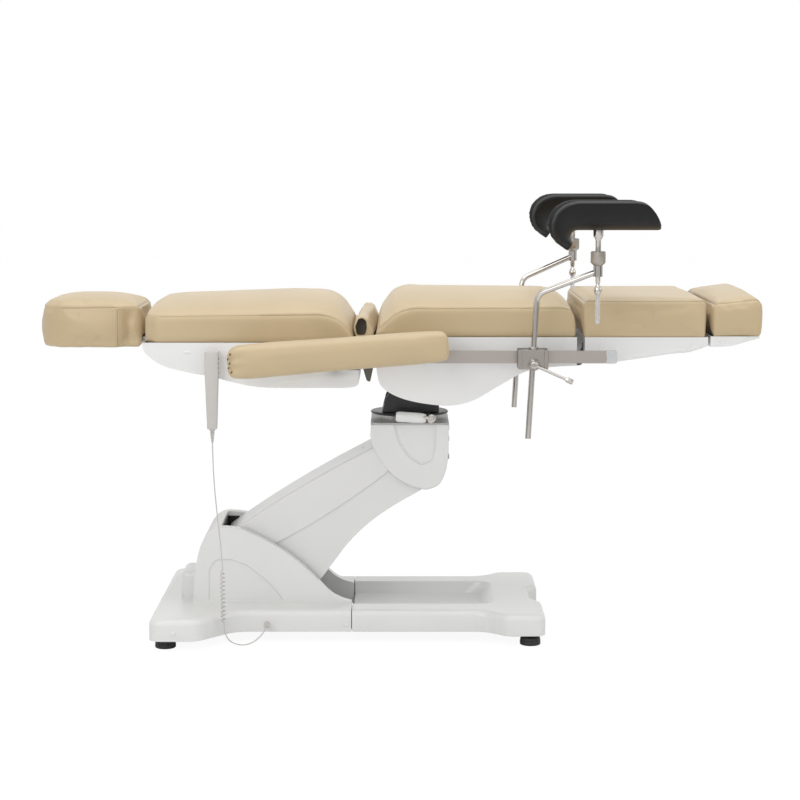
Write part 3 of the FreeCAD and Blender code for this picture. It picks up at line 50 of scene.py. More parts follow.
bpy.ops.object.camera_add(location=camera_place, rotation=(math.pi / 2 - camera_tilt, 0, 0))
camera = bpy.context.object
camera.data.lens = lens
scene.camera = camera

for name, place, turn, width, watts in (
        ("top_softbox", (0.2, -0.6, 4.2), (math.radians(-8), 0, 0), 4.5, 95),
        ("camera_side_softbox", (-2.6, -4.6, 2.4), (math.radians(66), 0, math.radians(-28)), 3.0, 62),
        ("foot_side_softbox", (4.4, -1.6, 2.2), (math.radians(62), 0, math.radians(68)), 2.4, 30)):
    bpy.ops.object.light_add(type="AREA", location=place, rotation=turn)
    softbox = bpy.context.object
    softbox.name = name
    softbox.data.size = width
    softbox.data.energy = watts

# Two dark flags that only reflections see, so that the metal has dark edges.
velvet = bpy.data.materials.new("black_velvet")
velvet.use_nodes = True
velvet.node_tree.nodes["Principled BSDF"].inputs["Base Color"].default_value = (0.01, 0.01, 0.01, 1)
for side in (-1, 1):
    bpy.ops.mesh.primitive_plane_add(size=1, location=(0.15 + side * 2.3, -1.3, 1.3),
                                     rotation=(math.pi / 2, 0, side * math.radians(72)))
    flag = bpy.context.object
    flag.name = f"dark_flag_{side}"
    flag.scale = (0.75, 3.4, 1)
    flag.visible_camera = flag.visible_diffuse = flag.visible_shadow = flag.visible_transmission = False
    flag.data.materials.append(velvet)


def seen_directly(tree, links):
    """One for what the camera sees, through clear plastic too, and nought for every other ray."""
    path, direct = tree.new("ShaderNodeLightPath"), tree.new("ShaderNodeMath")
    direct.operation = "MAXIMUM"
    links.new(path.outputs["Is Camera Ray"], direct.inputs[0])
    links.new(path.outputs["Is Transmission Ray"], direct.inputs[1])
    return direct.outputs[0]


# The surround looks white, lights the chair at half strength and is bright in reflections.
surround = bpy.data.worlds.new("white_surround")
scene.world = surround
surround.use_nodes = True
sky, links = surround.node_tree.nodes, surround.node_tree.links
seen_by = sky.new("ShaderNodeLightPath")
background = sky["Background"]
background.inputs["Color"].default_value = (1, 1, 1, 1)
level = sky.new("ShaderNodeMapRange")
level.inputs["To Min"].default_value = 0.5
level.inputs["To Max"].default_value = 1.0
links.new(seen_directly(sky, links), level.inputs["Value"])
glossy = sky.new("ShaderNodeMath")
glossy.operation = "MULTIPLY_ADD"
glossy.inputs[1].default_value = 0.5
links.new(seen_by.outputs["Is Glossy Ray"], glossy.inputs[0])
links.new(level.outputs["Result"], glossy.inputs[2])
links.new(glossy.outputs[0], background.inputs["Strength"])

floor_size = 60
bpy.ops.mesh.primitive_plane_add(size=floor_size, location=(0, 0, 0))
floor = bpy.context.object
floor.name = "studio_floor"
paper = bpy.data.materials.new("floor_paper")
paper.use_nodes = True
tree, links = paper.node_tree.nodes, paper.node_tree.links
shader = tree["Principled BSDF"]
shader.inputs["Base Color"].default_value = (0.9, 0.9, 0.9, 1)
shader.inputs["Roughness"].default_value = 0.9
glow = tree.new("ShaderNodeEmission")
glow.inputs["Strength"].default_value = 1.07
share = tree.new("ShaderNodeMath")
share.operation = "MULTIPLY"
share.inputs[1].default_value = 0.87
links.new(seen_directly(tree, links), share.inputs[0])
blend = tree.new("ShaderNodeMixShader")
links.new(share.outputs[0], blend.inputs["Fac"])
links.new(shader.outputs["BSDF"], blend.inputs[1])
links.new(glow.outputs["Emission"], blend.inputs[2])
links.new(blend.outputs["Shader"], tree["Material Output"].inputs["Surface"])
floor.data.materials.append(paper)


# Handset lead. One grey 3 mm lead: straight down from the hand control, then a curly part of
# thirteen turns, then a short tail that goes back up from the floor into the base's socket.
def finish(name, colour, roughness, grain=900, depth=0.05, mottle=0.05, metallic=0.0, coat=0.0,
           spread=0.05, stretch=(1, 1, 1)):
    """A finish whose tone and gloss drift a little over the piece, with a fine grain."""
    made = bpy.data.materials.new(name)
    made.use_nodes = True
    tree, links = made.node_tree.nodes, made.node_tree.links
    shader = tree["Principled BSDF"]
    place = tree.new("ShaderNodeTexCoord")
    drift = tree.new("ShaderNodeTexNoise")
    drift.inputs["Scale"].default_value = 7
    drift.inputs["Detail"].default_value = 3
    links.new(place.outputs["Object"], drift.inputs["Vector"])
    tone = tree.new("ShaderNodeValToRGB")
    tone.color_ramp.elements[0].position = 0.3
    tone.color_ramp.elements[1].position = 0.7
    tone.color_ramp.elements[0].color = tuple(part * (1 - mottle) for part in colour) + (1,)
    tone.color_ramp.elements[1].color = tuple(min(1, part * (1 + mottle * 0.6)) for part in colour) + (1,)
    links.new(drift.outputs["Fac"], tone.inputs["Fac"])
    links.new(tone.outputs["Color"], shader.inputs["Base Color"])
    stretched = tree.new("ShaderNodeMapping")
    stretched.inputs["Scale"].default_value = stretch
    links.new(place.outputs["Object"], stretched.inputs["Vector"])
    fine = tree.new("ShaderNodeTexNoise")
    fine.inputs["Scale"].default_value = grain
    fine.inputs["Detail"].default_value = 2
    links.new(stretched.outputs["Vector"], fine.inputs["Vector"])
    gloss = tree.new("ShaderNodeMapRange")
    gloss.inputs["To Min"].default_value = roughness - spread
    gloss.inputs["To Max"].default_value = roughness + spread
    links.new(fine.outputs["Fac"], gloss.inputs["Value"])
    links.new(gloss.outputs["Result"], shader.inputs["Roughness"])
    bump = tree.new("ShaderNodeBump")
    bump.inputs["Strength"].default_value = depth
    bump.inputs["Distance"].default_value = 0.0005
    links.new(fine.outputs["Fac"], bump.inputs["Height"])
    links.new(bump.outputs["Normal"], shader.inputs["Normal"])
    shader.inputs["Metallic"].default_value = metallic
    shader.inputs["Coat Weight"].default_value = coat
    shader.inputs["Coat Roughness"].default_value = 0.12
    return made


def dress(made, *names):
    """Gives a finish to parts that keep the shape they were built with."""
    for name in names:
        part = nodes[name]
        part.data.materials.clear()
        part.data.materials.append(made)


lead_grey = finish("lead_grey", (0.6, 0.57, 0.54), 0.45, grain=500)
hang_x, hang_y, relief_low = -0.4601, -0.3, 0.5223
lead_route = [(hang_x + dx, hang_y + dy, relief_low - down) for dx, dy, down in (
    (0, 0, 0), (0.001, 0, 0.055), (0.004, 0.001, 0.112), (0.009, 0.001, 0.17), (0.015, 0, 0.226),
    (0.02, 0, 0.275), (0.022, 0, 0.308))]
curl_top, curl_low, curl_turns, curl_radius, steps_a_turn = relief_low - 0.321, 0.064, 13, 0.0054, 12
curl_steps = curl_turns * steps_a_turn
for step in range(curl_steps + 1):
    share = step / curl_steps
    reach = curl_radius * min(1, 0.15 + step / 8, 0.15 + (curl_steps - step) / 8)
    angle = step / steps_a_turn * math.tau
    lead_route.append((hang_x + 0.022 + 0.002 * share + reach * math.cos(angle),
                       hang_y + reach * math.sin(angle), curl_top + (curl_low - curl_top) * share))
tail_x, tail_y = -0.3301, -0.263
lead_route += [(hang_x + 0.026, hang_y - 0.001, 0.038), (hang_x + 0.04, hang_y - 0.004, 0.015),
               (hang_x + 0.07, hang_y - 0.005, 0.006), (hang_x + 0.1, hang_y - 0.001, 0.013),
               (tail_x - 0.006, tail_y - 0.032, 0.036), (tail_x, tail_y - 0.014, 0.048),
               (tail_x, tail_y, 0.048)]
bpy.ops.object.select_all(action="DESELECT")
bpy.ops.curve.primitive_nurbs_path_add(location=(0, 0, 0))
lead = bpy.context.object
lead.name = "handset_lead_line"
lead.data.splines.clear()
strand = lead.data.splines.new("NURBS")
strand.points.add(len(lead_route) - 1)
for point, spot in zip(strand.points, lead_route):
    point.co = (*spot, 1)
strand.order_u = 3
strand.use_endpoint_u = True
strand.resolution_u = 3
lead_radius = 0.0015
line = bpy.data.meshes.new_from_object(lead.evaluated_get(bpy.context.evaluated_depsgraph_get()))
lead.data.bevel_depth = lead_radius
lead.data.bevel_resolution = 3
lead.data.use_fill_caps = True
bpy.context.view_layer.objects.active = lead
lead.select_set(True)
bpy.ops.object.convert(target="MESH")
bpy.ops.object.shade_smooth()
lead.data.materials.append(lead_grey)
dress(lead_grey, "handset_plug")
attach(lead, "back")
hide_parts("handset_lead", "handset_curly_lead", "handset_tail")
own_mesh(lead)


# Rear base cover. A deep vacuum-formed plastic cover: spread feet pads, side rails and a hump with
# a slot that the lift arm dips into, screwed to the welded frame inside.
def rounded(corners, steps=5):
    """Outline of (across, up, radius) corners with each corner turned by its own radius."""
    outline = []
    count = len(corners)
    for index, (across, up, radius) in enumerate(corners):
        corner = Vector((across, up))
        if radius <= 0:
            outline.append(tuple(corner))
            continue
        before = Vector(corners[index - 1][:2]) - corner
        after = Vector(corners[(index + 1) % count][:2]) - corner
        half_turn = before.angle(after) / 2
        reach = min(radius / math.tan(half_turn), before.length * 0.49, after.length * 0.49)
        first, last = corner + before.normalized() * reach, corner + after.normalized() * reach
        for step in range(steps + 1):
            share = step / steps
            outline.append(tuple(first.lerp(corner, share).lerp(corner.lerp(last, share), share)))
    return outline


def flowing(points, steps=4):
    """An open line that runs smoothly through its points."""
    line = []
    padded = [points[0]] + list(points) + [points[-1]]
    for a, b, c, d in zip(padded, padded[1:], padded[2:], padded[3:]):
        for step in range(steps):
            t = step / steps
            line.append(tuple(
                0.5 * (2 * q + (r - p) * t + (2 * p - 5 * q + 4 * r - s) * t * t
                       + (3 * q - p - 3 * r + s) * t ** 3) for p, q, r, s in zip(a, b, c, d)))
    line.append(tuple(points[-1]))
    return line


def mirrored(side, steps=5):
    """A plan outline from the (along, across, radius) corners of one side and their mirror images."""
    return rounded(side + [(x, -y, radius) for x, y, radius in reversed(side)], steps)


def form_from(name, outline, depth, place):
    """A flat outline made solid: each point goes where place puts it, then the face is drawn out."""
    bpy.ops.object.select_all(action="DESELECT")
    bpy.ops.mesh.primitive_circle_add(vertices=len(outline), radius=0.1, fill_type="NGON")
    form = bpy.context.object
    form.name = name
    for vertex, point in zip(form.data.vertices, outline):
        vertex.co = place(*point)
    bpy.ops.object.mode_set(mode="EDIT")
    bpy.ops.mesh.select_all(action="SELECT")
    bpy.ops.mesh.extrude_region_move(TRANSFORM_OT_translate={"value": depth})
    bpy.ops.mesh.select_all(action="SELECT")
    bpy.ops.mesh.normals_make_consistent(inside=False)
    bpy.ops.object.mode_set(mode="OBJECT")
    return form


def side_form(name, outline, low_y, high_y):
    return form_from(name, outline, (0, high_y - low_y, 0), lambda x, z: (x, low_y, z))


def plan_form(name, outline, low_z, high_z):
    return form_from(name, outline, (0, 0, high_z - low_z), lambda x, y: (x, y, low_z))


def pick_edges(form, wanted):
    """Selects the edges whose two ends pass the test, and nothing else."""
    bpy.context.tool_settings.mesh_select_mode = (False, True, False)
    mesh = form.data
    mesh.vertices.foreach_set("select", [False] * len(mesh.vertices))
    mesh.polygons.foreach_set("select", [False] * len(mesh.polygons))
    ends = [vertex.co for vertex in mesh.vertices]
    for edge in mesh.edges:
        edge.select = wanted(ends[edge.vertices[0]], ends[edge.vertices[1]])


def lengthwise(a, b):
    """True for an edge that lies in a side face."""
    return abs(a.y - b.y) < 1e-5


def span(out, near, far):
    """Two distances from the middle on one side, the lower place first."""
    return sorted((out * near, out * far))


def round_edges(form, width, wanted, segments=4):
    """Rounds the chosen edges of a form."""
    activate(form)
    pick_edges(form, wanted)
    bpy.ops.object.mode_set(mode="EDIT")
    bpy.ops.mesh.bevel(offset=width, segments=segments, affect="EDGES", clamp_overlap=True)
    bpy.ops.object.mode_set(mode="OBJECT")


def activate(piece):
    bpy.ops.object.select_all(action="DESELECT")
    piece.select_set(True)
    bpy.context.view_layer.objects.active = piece


def apply_modifier(piece, kind, **settings):
    activate(piece)
    modifier = piece.modifiers.new("step", kind)
    for setting, amount in settings.items():
        setattr(modifier, setting, amount)
    bpy.ops.object.modifier_apply(modifier="step")


def carve(piece, *tools, operation="DIFFERENCE"):
    """Cuts the tools out of a piece, or welds them on, and takes them away."""
    for tool in tools:
        apply_modifier(piece, "BOOLEAN", operation=operation, object=tool, solver="EXACT")
        bpy.data.objects.remove(tool)


def block(low, high, name="block"):
    """A plain cutter between two corners."""
    bpy.ops.object.select_all(action="DESELECT")
    bpy.ops.mesh.primitive_cube_add(size=1)
    made = bpy.context.object
    made.name = name
    for vertex in made.data.vertices:
        vertex.co = [a if side < 0 else b for side, a, b in zip(vertex.co, low, high)]
    return made


def soften(piece, width, segments=2):
    """Takes the sharpness off every edge of a hard moulding and evens its shading."""
    merge_distance, bevel_angle, smooth_angle = 0.00005, math.radians(30), math.radians(38)
    activate(piece)
    bpy.ops.object.mode_set(mode="EDIT")
    bpy.ops.mesh.select_all(action="SELECT")
    bpy.ops.mesh.remove_doubles(threshold=merge_distance)
    bpy.ops.mesh.dissolve_degenerate(threshold=merge_distance)
    bpy.ops.object.mode_set(mode="OBJECT")
    apply_modifier(piece, "BEVEL", width=width, segments=segments, limit_method="ANGLE",
                   angle_limit=bevel_angle, harden_normals=False)
    bpy.ops.object.shade_smooth_by_angle(angle=smooth_angle)
    apply_modifier(piece, "WEIGHTED_NORMAL", keep_sharp=True)


def finish_piece(piece, made, body, slot, *replaced):
    """Gives a finished piece its material and its body; the slot argument is not used."""
    piece.data.materials.clear()
    piece.data.materials.append(made)
    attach(piece, body)
    if replaced:
        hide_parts(*replaced)


def join(name, *parts):
    """Makes several meshes one piece."""
    activate(parts[0])
    for part in parts[1:]:
        part.select_set(True)
    if len(parts) > 1:
        bpy.ops.object.join()
    parts[0].name = name
    return parts[0]


def draw_floor(form, inside, centre, shares):
    """Draws the inner face of a cutter in towards a centre, so that it leaves sloping walls."""
    for vertex in form.data.vertices:
        if abs(vertex.co.y) < inside:
            vertex.co.x = centre[0] + (vertex.co.x - centre[0]) * shares[0]
            vertex.co.z = centre[1] + (vertex.co.z - centre[1]) * shares[1]


base_plastic = finish("base_plastic", (0.8, 0.8, 0.785), 0.34, grain=700, depth=0.03, mottle=0.012,
                      coat=0.25, spread=0.03)
cover_low, cover_top, cover_round = 0.027, 0.083, 0.017
split_x, half_split, rail_half, rail_inner = -0.1141, 0.0008, 0.237, 0.215
rear_plan = mirrored([(split_x - half_split, -rail_half, 0), (-0.412, -rail_half, 0.07),
    (-0.5, -0.355, 0.05), (-0.6221, -0.355, 0.035)])
rear_cover = plan_form("rear_base_cover_shell", rear_plan, cover_low, cover_top)
round_edges(rear_cover, cover_round, lambda a, b: min(a.z, b.z) > cover_top - 1e-4
    and max(a.x, b.x) < split_x - 0.0009 or (min(a.z, b.z) > cover_top - 1e-4 and abs(a.y - b.y) < 1e-4))
carve(rear_cover, block((-0.6, -rail_inner, cover_low - 0.02), (split_x - 0.004, rail_inner, 0.064)))
hump_line = flowing([(-0.528, 0.03), (-0.527, 0.095), (-0.523, 0.15), (-0.513, 0.213), (-0.495, 0.257),
                     (-0.464, 0.281), (-0.412, 0.279), (-0.385, 0.271), (-0.3215, 0.239), (-0.266, 0.202),
                     (-0.2146, 0.156), (-0.195, 0.1346), (-0.168, 0.108), (-0.14, 0.093), (-0.116, 0.0865)])
hump_half = 0.147
hump = side_form("hump", hump_line + [(-0.116, 0.03)], -hump_half, hump_half)
round_edges(hump, 0.014, lambda a, b: lengthwise(a, b) and min(a.z, b.z) > 0.05
            and max(a.x, b.x) < -0.118, segments=5)
carve(rear_cover, hump, operation="UNION")
bump = plan_form("motor_bump", rounded([(-0.566, -0.07, 0.02), (-0.515, -0.07, 0), (-0.515, 0.07, 0),
                                        (-0.566, 0.07, 0.02)]), 0.066, 0.152)
round_edges(bump, 0.018, lambda a, b: min(a.z, b.z) > 0.151)
carve(rear_cover, bump, operation="UNION")
# A shallow panel with sloping walls on each side of the hump.
for side in (-1, 1):
    near, far = span(side, 0.1422, 0.155)
    panel = side_form("panel", rounded([(-0.494, 0.088, 0.004), (-0.492, 0.176, 0.02),
        (-0.474, 0.204, 0.02), (-0.43, 0.206, 0.03), (-0.385, 0.19, 0.06), (-0.322, 0.14, 0.08),
        (-0.282, 0.09, 0.004)]), near, far)
    draw_floor(panel, 0.146, (-0.4, 0.088), (0.9, 0.92))
    round_edges(panel, 0.004, lambda a, b: lengthwise(a, b) and abs(a.y) < 0.146)
    carve(rear_cover, panel)
carve(rear_cover, block((-0.4551, -0.115, cover_low - 0.02), (split_x + 0.03, 0.115, 0.4)))
carve(rear_cover, block((-0.64, -0.0245, 0.0365), (-0.598, 0.0245, 0.0675)))
soften(rear_cover, 0.0022)
finish_piece(rear_cover, base_plastic, "base", "base_plastic", "rear_base_cover")

# Slot shade. Thin black strips inside the head end of the slot, on the end wall and both sides: painted
# shade on the slot's plastic walls.
# This black is painted shade, not the walls' own colour.
slot_painted_shade = finish("slot_painted_shade", (0.012, 0.012, 0.012), 0.6, grain=900, depth=0.1)
shade_start, shade_low = -0.455, 0.09
slot_walls = [block((shade_start, -0.1148, shade_low), (-0.4536, 0.1148, 0.272), "wall")]
for side in (-1, 1):
    near, far = span(side, 0.1134, 0.1149)
    slot_walls.append(block((shade_start, near, shade_low), (-0.424, far, 0.27), "wall"))
slot_shade_strips = join("slot_shade_strips", *slot_walls)
soften(slot_shade_strips, 0.0004)
finish_piece(slot_shade_strips, slot_painted_shade, "base", "base_plastic")

# Front base cover. The same moulding on the other side of the split line, with a tray that takes
# the lowered head of the lift and a notch between its two foot pads.
front_plan = mirrored([(split_x + half_split, -rail_half, 0), (0.228, -rail_half, 0.07),
    (0.28, -0.295, 0.04), (0.3799, -0.295, 0.03), (0.3799, -0.11, 0.02), (0.355, -0.06, 0.03)])
front_cover = plan_form("front_base_cover_shell", front_plan, cover_low, cover_top)
round_edges(front_cover, cover_round, lambda a, b: min(a.z, b.z) > cover_top - 1e-4
            and not (max(a.x, b.x) < split_x + 0.001))
carve(front_cover, block((split_x + 0.004, -rail_inner, cover_low - 0.02), (0.335, rail_inner, 0.044)))
tray_half, tray_floor = 0.15, 0.05
tray = side_form("tray", [(-0.2, tray_floor), (0.22, tray_floor), (0.266, 0.092), (-0.2, 0.092)],
                 -tray_half, tray_half)
round_edges(tray, 0.03, lambda a, b: min(a.x, b.x) > 0.21 and abs(a.y - b.y) < 1e-4
    and abs(a.z - b.z) > 0.01)
carve(front_cover, tray)
soften(front_cover, 0.0026)
finish_piece(front_cover, base_plastic, "base", "base_plastic", "front_base_cover")

# Inside the base. A welded steel frame, the lift's gear motor, the pivot shafts, the mains inlet and
# the four rubber feet on threaded stems.
frame_paint = finish("frame_paint", (0.115, 0.12, 0.125), 0.5, grain=1400, depth=0.12, mottle=0.08)
motor_casing = finish("motor_casing", (0.05, 0.05, 0.052), 0.55, grain=900, depth=0.2)
ground_steel = finish("ground_steel", (0.55, 0.54, 0.52), 0.28, grain=260, depth=0.05, metallic=1.0,
                      stretch=(1, 8, 1))
foot_rubber = finish("foot_rubber", (0.018, 0.018, 0.018), 0.6, grain=1500, depth=0.2)
inlet_plastic = finish("inlet_plastic", (0.02, 0.02, 0.02), 0.42, grain=1200, depth=0.1)
dress(frame_paint, "base_frame", "head_frame", "seat_frame", "back_frame", "leg_frame", "lower_link",
      "upper_link", "tilt_actuator")
dress(motor_casing, "lift_motor")
dress(ground_steel, "base_shafts", "head_shafts", "tilt_pin", "headrest_bar", "foot_slide")
dress(inlet_plastic, "power_inlet")


def turned(name, centre, axis, profile, facets=40):
    """A turned part: a disc that is drawn out along an axis and resized at each step of the profile."""
    bpy.ops.object.select_all(action="DESELECT")
    bpy.ops.mesh.primitive_circle_add(vertices=facets, radius=profile[0][0], fill_type="NGON",
                                      location=(0, 0, profile[0][1]))
    made = bpy.context.object
    made.name = name
    bpy.ops.object.mode_set(mode="EDIT")
    bpy.ops.mesh.select_all(action="SELECT")
    for (before, low), (radius, high) in zip(profile, profile[1:]):
        bpy.ops.mesh.extrude_region_move(TRANSFORM_OT_translate={"value": (0, 0, high - low)})
        bpy.ops.transform.resize(value=(radius / before, radius / before, 1), center_override=(0, 0, high))
    bpy.ops.mesh.select_all(action="SELECT")
    bpy.ops.mesh.normals_make_consistent(inside=False)
    bpy.ops.object.mode_set(mode="OBJECT")
    turn = {"X": Matrix.Rotation(math.pi / 2, 4, "Y"), "Y": Matrix.Rotation(-math.pi / 2, 4, "X"),
            "Z": Matrix.Identity(4)}[axis]
    made.data.transform(Matrix.Translation(centre) @ turn @ Matrix.Translation(made.location))
    made.location = (0, 0, 0)
    bpy.ops.object.shade_smooth_by_angle(angle=math.radians(35))
    return made


foot_profile = [(0.0235, 0.0), (0.0262, 0.002), (0.0265, 0.009), (0.0255, 0.011), (0.0262, 0.013),
    (0.0245, 0.019), (0.015, 0.0215), (0.012, 0.0218), (0.0118, 0.024), (0.007, 0.0242), (0.007, 0.062)]
feet = [turned("foot", (x, y, 0), "Z", foot_profile)
        for x, y in ((-0.5841, 0.295), (-0.5841, -0.295), (0.3419, 0.26), (0.3419, -0.26))]
finish_piece(join("turned_levelling_feet", *feet), foot_rubber, "base", "foot_rubber", "levelling_feet")

# Cover screws. Plastic caps on the screws that hold the base covers to the frame.
caps = []
for x, y, z in ((-0.559, -0.3552, 0.047), (-0.128, -0.2372, 0.046), (-0.559, 0.3552, 0.047),
        (-0.128, 0.2372, 0.046)):
    out = 1 if y > 0 else -1
    caps.append(turned("cap", (x, y - out * 0.003, z), "Y", [(0.0062, 0), (0.0062, out * 0.0042),
        (0.0052, out * 0.0052), (0.0025, out * 0.0058)], 20))
caps = join("base_screw_caps", *caps)
soften(caps, 0.0002, 1)
finish_piece(caps, base_plastic, "base", "base_plastic")

# Lift arm. Two plastic covers screwed to the links inside: the upper one laps over the lower one
# along a seam, and both swing as the arm goes down.
arm_angle = math.radians(31.7)
pivot_x, pivot_z = -0.3901, 0.18


def along_arm(along, across):
    """A place given along and across the arm, from its lower pivot."""
    return (pivot_x + along * math.cos(arm_angle) - across * math.sin(arm_angle),
            pivot_z + along * math.sin(arm_angle) + across * math.cos(arm_angle))


def across_arm(*points):
    """How far each place stands above the line through the arm's pivots."""
    return [(p.z - pivot_z) * math.cos(arm_angle) - (p.x - pivot_x) * math.sin(arm_angle) for p in points]


def arm_form(name, outline, low_y, high_y):
    return form_from(name, outline, (0, high_y - low_y, 0),
                     lambda a, b: (along_arm(a, b)[0], low_y, along_arm(a, b)[1]))


upper_top = flowing([(-0.008, 0.0905), (0.1, 0.0965), (0.22, 0.0975), (0.34, 0.0935), (0.444, 0.0865)], 5)
upper_seam = flowing([(0.446, 0.014), (0.4, 0.008), (0.3, 0.002), (0.2, 0.0005), (0.1, 0.005),
    (0.07, 0.014), (-0.02, 0.045)], 5)
upper_cover = arm_form("upper_arm_cover_shell", upper_top + upper_seam, -0.108, 0.108)
round_edges(upper_cover, 0.007, lambda a, b: lengthwise(a, b) and
            min(across_arm(a, b)) > 0.08)
carve(upper_cover, arm_form("hollow", [(-0.05, -0.05), (0.5, -0.05), (0.5, 0.081), (0.34, 0.0885),
                                       (0.2, 0.092), (0.1, 0.0915), (-0.05, 0.083)], -0.104, 0.104))
soften(upper_cover, 0.0012)
finish_piece(upper_cover, base_plastic, "upper_arm", "base_plastic", "upper_arm_cover")
lower_line = flowing([(0.036, 0.016), (0.034, -0.03), (0.064, -0.086), (0.11, -0.139), (0.135, -0.139),
    (0.188, -0.119), (0.253, -0.094), (0.324, -0.0775), (0.4, -0.072), (0.49, -0.0745)], 5)
lower_cover = arm_form("lower_arm_cover_shell", lower_line + [(0.462, 0.02)], -0.1028, 0.1028)
round_edges(lower_cover, 0.009, lambda a, b: lengthwise(a, b) and
            max(across_arm(a, b)) < -0.06
            and min(a.x, b.x) > -0.3)
hollow_line = [(0.024, 0.04), (0.026, -0.026), (0.064, -0.084), (0.11, -0.137), (0.135, -0.135),
    (0.188, -0.114), (0.253, -0.089), (0.324, -0.073), (0.4, -0.068), (0.52, -0.069), (0.52, 0.04)]
carve(lower_cover, arm_form("hollow", hollow_line, -0.0988, 0.0988))
soften(lower_cover, 0.0012)
finish_piece(lower_cover, base_plastic, "lift_arm", "base_plastic", "lower_arm_cover")

# Head of the lift. A D-shaped plastic housing with a scooped panel on each side, over the steel
# head frame, under a painted steel plate that the turntable is bolted to.
head_line = ([(-0.0655, 0.5451)] + flowing([(-0.0668, 0.518), (-0.0585, 0.4842), (-0.0225, 0.4281),
    (0.024, 0.3915), (0.0645, 0.3775), (0.0842, 0.3765), (0.113, 0.3907), (0.13, 0.4281), (0.136, 0.4746)],
    5) + [(0.1365, 0.5451)])
housing = side_form("head_housing_shell", head_line, -0.117, 0.117)
round_edges(housing, 0.01, lambda a, b: lengthwise(a, b) and max(a.z, b.z) < 0.544, segments=5)
for side in (-1, 1):
    near, far = span(side, 0.1105, 0.125)
    scoop = side_form("scoop", rounded([(-0.0134, 0.546, 0), (0.000, 0.497, 0.05), (0.0308, 0.454, 0.04),
                                        (0.0671, 0.434, 0.025), (0.099, 0.448, 0.03), (0.1075, 0.487, 0.03),
                                        (0.108, 0.546, 0)], 6), near, far)
    draw_floor(scoop, 0.114, (0.062, 0.546), (0.86, 0.93))
    round_edges(scoop, 0.006, lambda a, b: lengthwise(a, b) and abs(a.y) < 0.114 and min(a.z, b.z) < 0.545,
        5)
    carve(housing, scoop)
head_inside = side_form("inside", [(-0.12, 0.6), (-0.12, 0.33), (0.078, 0.33), (0.078, 0.3815),
    (0.103, 0.393), (0.122, 0.4281), (0.129, 0.4746), (0.129, 0.6)], -0.109, 0.109)
carve(housing, head_inside)
soften(housing, 0.0011)
finish_piece(housing, base_plastic, "lift_head", "base_plastic", "head_housing")
# Grey clips on the foot side of the housing.
clips = []
for z in (0.531, 0.502, 0.455):
    clips.append(block((0.1345, -0.062, z - 0.006), (0.1388, -0.04, z + 0.006), "clip"))
clips = join("head_housing_clips", *clips)
soften(clips, 0.0012)
grey_clip = finish("grey_clip", (0.4, 0.4, 0.39), 0.4)
finish_piece(clips, grey_clip, "lift_head", "black_plastic")
plate_paint = finish("plate_paint", (0.47, 0.465, 0.455), 0.36, grain=500, depth=0.08, metallic=0.25,
                     stretch=(1, 6, 1))
dress(plate_paint, "head_plate")

# Turntable. A bearing under a black disc that carries the black tilt cradle; a hand lever with a
# white grip locks it.
black_cast = finish("black_cast", (0.009, 0.009, 0.0095), 0.38, grain=900, depth=0.15, coat=0.2)
swivel_x = 0.0349
dress(ground_steel, "swivel_bearing")
disc = turned("swivel_disc_turned", (swivel_x, 0, 0.5643), "Z",
    [(0.088, 0), (0.0995, 0.0006), (0.102, 0.0025), (0.102, 0.0048), (0.0995, 0.0068), (0.06, 0.007)], 96)
finish_piece(disc, black_cast, "turntable", "black_plastic", "swivel_disc")
cradle_line = rounded([(-0.072, 0.5714, 0), (0.077, 0.5714, 0), (0.077, 0.597, 0.012), (0.036, 0.65, 0.02),
    (0.026, 0.768, 0.01), (0.01, 0.782, 0.01), (-0.01, 0.782, 0.01), (-0.026, 0.768, 0.01),
    (-0.036, 0.65, 0.02), (-0.062, 0.61, 0.012)], 4)
cradle_line = [(swivel_x + x, z) for x, z in cradle_line]
cradle = side_form("tilt_cradle_cast", cradle_line, -0.06, 0.06)
carve(cradle, block((swivel_x - 0.1, -0.05, 0.5834), (swivel_x + 0.1, 0.05, 0.9)))
carve(cradle, turned("bore", (swivel_x, -0.08, 0.7603), "Y", [(0.01015, 0), (0.01015, 0.16)]))
soften(cradle, 0.0018)
finish_piece(cradle, black_cast, "turntable", "black_plastic", "tilt_cradle")
hand_chrome = finish("hand_chrome", (0.64, 0.605, 0.565), 0.1, grain=300, depth=0.02, metallic=1.0,
    mottle=0.02)
warm_edge = (0.3, 0.28, 0.26, 1)
hand_chrome.node_tree.nodes["Principled BSDF"].inputs["Specular Tint"].default_value = warm_edge
grip_white = finish("grip_white", (0.83, 0.83, 0.81), 0.25, grain=500, depth=0.03, mottle=0.01, coat=0.4)
dress(hand_chrome, "swivel_lever")
grip_line = [(0.0075, 0), (0.0105, 0.001), (0.0125, 0.006), (0.0128, 0.05), (0.0118, 0.07),
    (0.0095, 0.0785), (0.005, 0.079)]
grip = turned("swivel_lever_grip_moulded", (-0.0011, -0.125, 0.5653), "X", grip_line, 32)
grip_centre = Matrix.Translation((0.0384, 0, 0.5653))
grip.data.transform(grip_centre @ Matrix.Rotation(math.radians(3.5), 4, "Y")
    @ Matrix.Diagonal((1, 0.95, 1.08, 1)) @ grip_centre.inverted())
finish_piece(grip, grip_white, "swivel_lock", "white_grip", "swivel_lever_grip")
boss = turned("swivel_lever_boss", (0.0915, 0, 0.564), "Y", [(0.0098, -0.118), (0.011, -0.119),
    (0.011, -0.129), (0.01, -0.1302), (0.0066, -0.1304), (0.0058, -0.127)], 32)
finish_piece(boss, hand_chrome, "swivel_lock", "chrome")

# Undershells. Glossy white moulded pans under each section, rounded along their lower edges and
# open on top, where the frames and cushions sit.
shell_white = finish("shell_white", (0.86, 0.86, 0.85), 0.22, grain=400, depth=0.02, mottle=0.01, coat=0.35,
                     spread=0.03)


shell_half = 0.268


